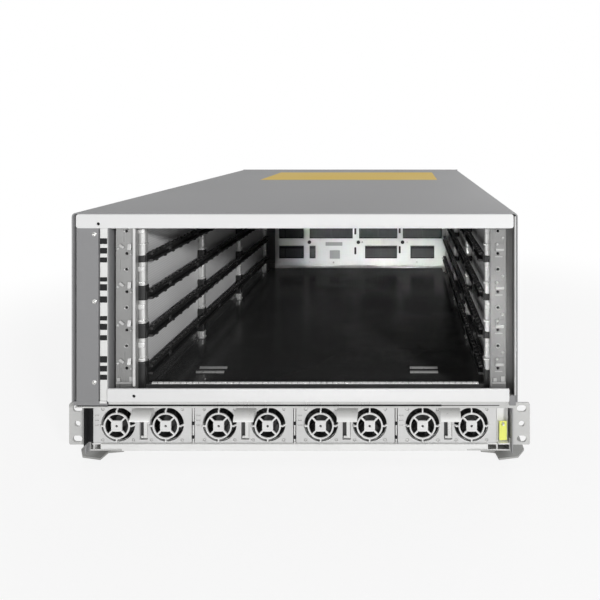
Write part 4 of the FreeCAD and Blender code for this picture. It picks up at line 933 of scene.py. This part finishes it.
def floor_ribs():
    """Lanced ribs of the floor, and the spring strip's fingers."""
    ribs = Shape()
    for x0, x1 in RIB_SPANS:
        for depth in RIB_DEPTHS:
            ribs.bar([(depth + d, CAGE_FLOOR + z) for d, z in RIB], x0, x1)
    put("floor_ribs", ribs, "spring_steel", look="flange_zinc")
    strip = Shape()
    strip.block(*GASKET_X, 14.0, 18.0, 86.0, 86.4, 0.1)
    pitch = (GASKET_X[1] - GASKET_X[0]) / FINGER_COUNT
    for k in range(FINGER_COUNT):
        x = GASKET_X[0] + pitch * k
        strip.bar(FINGER, x + 0.35, x + pitch - 0.35)
    put("gasket_fingers", strip, "spring_steel", "chassis", ("emi_gasket",), "clip_dull")


def floor_rise():
    """The floor's rear half, rising a little to the backplane."""
    rise = Shape()
    rise.bar([(300.0, CAGE_FLOOR), (544.9, CAGE_FLOOR + 7.0), (544.9, CAGE_FLOOR)], -149.4, 185.9)
    put("floor_rise", rise, "cage_black")


def flange_details():
    """Lugs, bars and covers at the latch slots, domes, rims round the holes and tabs of the two uprights; the
    lugs, bars, domes, rims and tabs are lighter than the uprights, partly as painted highlight.
    """
    bright = Shape()
    covers = Shape()
    tilt = Matrix.Rotation(math.radians(38.0), 4, "Y") @ Matrix.Rotation(math.radians(-24.0), 4, "X")
    lean = Matrix.Rotation(math.radians(-14.0), 4, "X")
    # The bright pieces here take the lighter lug finish, which is partly painted highlight.
    for level in SLOT_LEVELS:
        bright.block(-180.4, -174.8, 8.3, 9.8, level + 16.2, level + 18.8, 0.5, tilt)
        bright.block(-171.9, -167.6, 8.5, 9.95, level + 13.4, level + 20.6, 0.9, lean, 3)
        bright.block(202.2, 211.0, 8.2, 9.95, level + 12.6, level + 15.4, 0.8, None, 3)
        bright.block(201.8, 209.4, 9.5, 10.0, level + 6.4, level + 7.3, 0.15)
        covers.block(202.0, 210.8, 9.3, 9.95, level + 13.0, level + 20.8, 0.3)
        for x, d, z in ((-182.2, 0.0, 14.7), (-168.2, 0.0, 9.4), (203.9, -0.7, 19.6), (209.6, 0.0, 26.0)):
            bright.lathe(FLANGE_DOME, (x, d, level + z), "Y", 18)
        for x in (-172.75, 204.75):
            bright.lathe(FLANGE_RIM, (x, 0.0, level + 33.0), "Y", 24)
    for x0, x1 in FLANGE_X:
        bright.block(x0, x1, 9.2, 9.9, 88.4, 90.0, 0.2)
        bright.block(x0 + 1.0, x0 + 4.6, 9.0, 9.9, 90.6, 94.4, 0.4)
        bright.block(x1 - 5.0, x1 - 0.8, 9.0, 9.9, 90.6, 96.0, 0.4)
    put("slot_covers", covers, "plated_steel", look="flange_zinc")
    put("flange_details", bright, "plated_steel", look="lug_zinc_and_highlight")


for cage_side in CAGE_SIDES:
    guide_frame(cage_side)
    card_guides(cage_side)
    wall_base(cage_side)
floor_ribs()
floor_rise()
flange_details()


# Backplane

SHEET_FACE = 545.0
WINDOW_ROWS = ((-132.4, -83.9), (-72.9, 11.5), (23.7, 98.5), (109.1, 185.5))
BOTTOM_ROW = ((-132.4, -83.9), (-72.9, -61.1), (35.4, 97.9), (124.0, 170.6))
WINDOW_MARGIN = 1.2
CORE_WIDTH = 40.0
PARTITION_X = (-120.4, -118.6)
BIG_PATCH = (-33.3, -13.6, 95.4, 111.6)
SMALL_PATCH = (-41.5, -8.7, 120.6, 127.6)
STIFFENER_X = (-136.5, 104.0, 189.5)
FIXING_X = (-73.0, 22.6, 108.6)
FIXING = [(0.0, 542.6), (1.0, 542.6), (1.1, 541.9), (2.4, 541.6), (3.3, 542.2), (3.5, 543.2),
          (3.5, SHEET_FACE), (0.0, SHEET_FACE)]
RIVETS = ((-131.0, 88.6), (-73.0, 88.6), (-26.0, 88.0), (137.0, 88.6), (187.0, 96.4), (187.0, 126.8),
          (30.0, 127.4), (118.0, 127.4))
RIVET = [(0.0, 544.0), (1.1, 544.1), (1.7, 544.6), (1.7, SHEET_FACE), (0.0, SHEET_FACE)]


def header_faces():
    """Each header as a shroud round rows of contact blocks, with one partition in the left column."""
    shells = Shape()
    cores = Shape()
    for row, level in enumerate(SLOT_LEVELS):
        z0 = level + 2.7
        z1 = level + 25.3
        for column, (left, right) in enumerate(BOTTOM_ROW if row == 0 else WINDOW_ROWS):
            x0 = left + WINDOW_MARGIN
            x1 = right - WINDOW_MARGIN
            outer = rounded(x0, x1, z0, z1, 0.8, 3)
            inner = rounded(x0 + 1.0, x1 - 1.0, z0 + 2.6, z1 - 3.4, 0.6, 3)
            shells.plate([outer, inner], 540.5, 548.5, 0.25)
            count = max(1, round((x1 - x0) / CORE_WIDTH))
            step = (x1 - x0 - 2.4) / count
            for k in range(count):
                core = x0 + 1.2 + step * k
                cores.block(core + 0.15, core + step - 0.15, 543.6, 548.4, z0 + 2.7, z1 - 3.5, 0.3)
            if column == 0:
                shells.block(*PARTITION_X, 540.3, 546.0, z0 + 0.4, z1 - 0.4, 0.3)
    put("header_shells", shells, "connector_black", "chassis", ("backplane_connectors",))
    put("header_cores", cores, "connector_black", look="header_grey")


def around(area, gap_x, gap_z, corner):
    """A rounded loop with a gap round an area."""
    x0, x1, z0, z1 = area
    return rounded(x0 - gap_x, x1 + gap_x, z0 - gap_z, z1 + gap_z, corner, 3)


def backplane_face():
    """Patches, stiffeners, dark fixings and rivets on the windowed sheet."""
    grey = Shape()
    for area in (SMALL_PATCH, BIG_PATCH):
        grey.plate([around(area, 0.0, 0.0, 0.8)], 543.6, SHEET_FACE, 0.3)
    put("backplane_patches", grey, "plated_steel", look="patch_grey")
    plate = Shape()
    loops = [rounded(-58.8, 10.2, 92.6, 130.0, 1.0, 3)]
    loops += [around(area, 0.5, 0.4, 0.9) for area in (SMALL_PATCH, BIG_PATCH)]
    loops += [circle(x, 124.0, 1.4, 16) for x in (-52.0, 4.0)]
    plate.plate(loops, 544.4, SHEET_FACE, 0.15)
    for x in STIFFENER_X:
        plate.block(x - 2.2, x + 2.2, 544.0, SHEET_FACE, 81.0, 250.0, 0.3)
    dark = Shape()
    for level in SLOT_LEVELS[:3]:
        plate.block(-133.0, 187.0, 544.1, SHEET_FACE, level + 37.0, level + 39.0, 0.3)
        for x in FIXING_X:
            dark.lathe(FIXING, (x, 0.0, level + 33.5), "Y", 24)
        key = level + 9.6
        dark.plate([rounded(14.6, 18.4, key, key + 14.0, 1.2, 3)], 544.2, SHEET_FACE, 0.2)
        dark.plate([rounded(101.2, 105.0, key + 2.4, key + 16.4, 1.2, 3)], 542.9, 544.2, 0.2)
    plate.block(-140.0, 193.5, 542.2, SHEET_FACE, 80.4, 82.2, 0.5)
    put("backplane_stiffeners", plate, "plated_steel", look="backplane_white")
    put("backplane_fixings", dark, "connector_black")
    marks = Shape()
    for x, z in RIVETS:
        marks.lathe(RIVET, (x, 0.0, z), "Y", 18)
    put("backplane_rivets", marks, "screw_steel", look="clip_dull")


header_faces()
backplane_face()


# Tray, covers and the back

SIDE_FACE = 223.15
REAR_FACE = 623.5
COVER_FOOT = 247.7
COVER_INSIDE = 221.65
COVER_BEND = 219.15
COVER_PATCH = (-128.0, 166.0, 378.0, 543.0)
PATCH_Z = (263.55, 263.65)
REAR_SCREW_X = (-140.0, -40.0, 60.0, 160.0, -216.0, 216.0)
REAR_SCREW_Z = (60.0, 255.5)
SIDE_SCREW_D = (200.0, 340.0, 480.0, 600.0)
SIDE_SCREW_Z = (30.0, 238.0)
PAN_HEAD = [(0.0, 0.9), (1.5, 0.9), (1.65, 1.3), (2.4, 1.2), (3.0, 0.7), (3.0, -0.3), (0.0, -0.3)]
TRAY_WHEEL_X = -200.2
TRAY_WHEEL_Z = 157.25
TRAY_WHEEL_PITCH = 149.0
LARGE_HUB = [(0.0, -12.6), (18.0, -12.6), (22.6, -11.0), (24.0, -8.0), (24.0, 11.4), (22.8, 12.6),
             (0.0, 12.6)]
PIN_OFFSETS = (-9.0, 0.0, 9.0)


def supply_ducts():
    """Dark throats behind each front plate, round the wheels and beside the lever."""
    for number, middle in enumerate(SUPPLY_X, start=1):
        duct = Shape()
        for offset in FAN_OFFSETS:
            duct.lathe(DUCT_WALL, (middle + offset, 0.0, FAN_Z), "Y", 48)
        slot = middle + HANDLE_SHIFT
        duct.block(slot + SLOT_X[0], slot - 2.3, 29.3, FACE_BACK, *SLOT_Z, 0.1)
        put(f"supply_{number}_ducts", duct, "fan_black", f"supply_{number}")


def tray_painted_shade():
    """Painted shade: dark blocks in the gap left of the supplies, a dark line for the shadowed gap above them
    and dark marks for the dividers' notches.
    """
    gap_shade = Shape()
    # Painted shade: a dark block and a thin dark sheet in the gap left of the first supply.
    gap_shade.block(-221.6, -216.1, 27.6, FACE_BACK, 19.4, 57.4, 0.2)
    gap_shade.block(-221.6, -221.2, 19.0, 28.0, 19.4, 66.8, 0.1)
    # Painted shadow: a thin dark line along the gap under the lower bezel.
    gap_shade.block(-212.0, 147.0, 2.3, 2.6, 68.95, 70.7, 0.05)
    gap_shade.block(147.0, 205.0, 2.3, 2.6, 69.5, 70.2, 0.05)
    for left, right in zip(SUPPLY_X, SUPPLY_X[1:]):
        wall = (left + right) / 2
        for z in (25.4, 39.8):
            gap_shade.block(wall - 1.2, wall + 1.2, 25.6, 27.0, z - 1.8, z + 1.8, 0.2)
    put("tray_painted_shade", gap_shade, "connector_black")


def cover_top():
    """The folded top cover with a plain yellow patch."""
    cover = Shape()
    outline = [(-SIDE_FACE, COVER_FOOT), (-COVER_INSIDE, COVER_FOOT)]
    outline += arc(-COVER_BEND, 259.65, 2.5, 2, 1) + arc(COVER_BEND, 259.65, 2.5, 1, 0)
    outline += [(COVER_INSIDE, COVER_FOOT), (SIDE_FACE, COVER_FOOT)]
    outline += arc(COVER_BEND, 259.55, 4.0, 0, 1) + arc(-COVER_BEND, 259.55, 4.0, 1, 2)
    cover.plate([outline], 0.0, 622.0, 0.2)
    put("cover_shell", cover, "cover_paint", "chassis", ("top_cover",))
    patch = Shape()
    patch.plate([rounded(*COVER_PATCH, 3.0)], *PATCH_Z, 0.02, "flat")
    put("cover_patch", patch, "tag_yellow", look="patch_yellow")


def screws(name, places, axis, sign):
    """Low pan heads on a face; a place is X, depth and height."""
    heads = Shape()
    for place in places:
        heads.lathe([(radius, sign * along) for radius, along in PAN_HEAD], place, axis, 24)
    put(name, heads, "screw_steel")


def inlet_pins():
    """Three flat pins in each mains inlet."""
    pins = Shape()
    for middle in SUPPLY_X:
        for x in (middle + offset for offset in PIN_OFFSETS):
            pins.block(x - 1.2, x + 1.2, 603.6, 611.8, 32.3, 39.7, 0.4)
    put("inlet_pins", pins, "screw_steel", look="clip_dull")


supply_ducts()
tray_painted_shade()
cover_top()
for number in range(1, 5):
    wheel_centre = (TRAY_WHEEL_X, 26.0 + TRAY_WHEEL_PITCH * (number - 0.5), TRAY_WHEEL_Z)
    rotor = f"fan_tray_rotor_{number}"
    fan_wheel(f"fan_tray_wheel_{number}", rotor, LARGE_HUB, 48, LARGE_BLADE, wheel_centre, "X")
screws("rear_screws", [(x, REAR_FACE, z) for x in REAR_SCREW_X for z in REAR_SCREW_Z], "Y", 1.0)
for screw_side, sign in (("left", -1.0), ("right", 1.0)):
    heads = [(sign * SIDE_FACE, d, z) for d in SIDE_SCREW_D for z in SIDE_SCREW_Z]
    screws(f"{screw_side}_side_screws", heads, "X", sign)
inlet_pins()
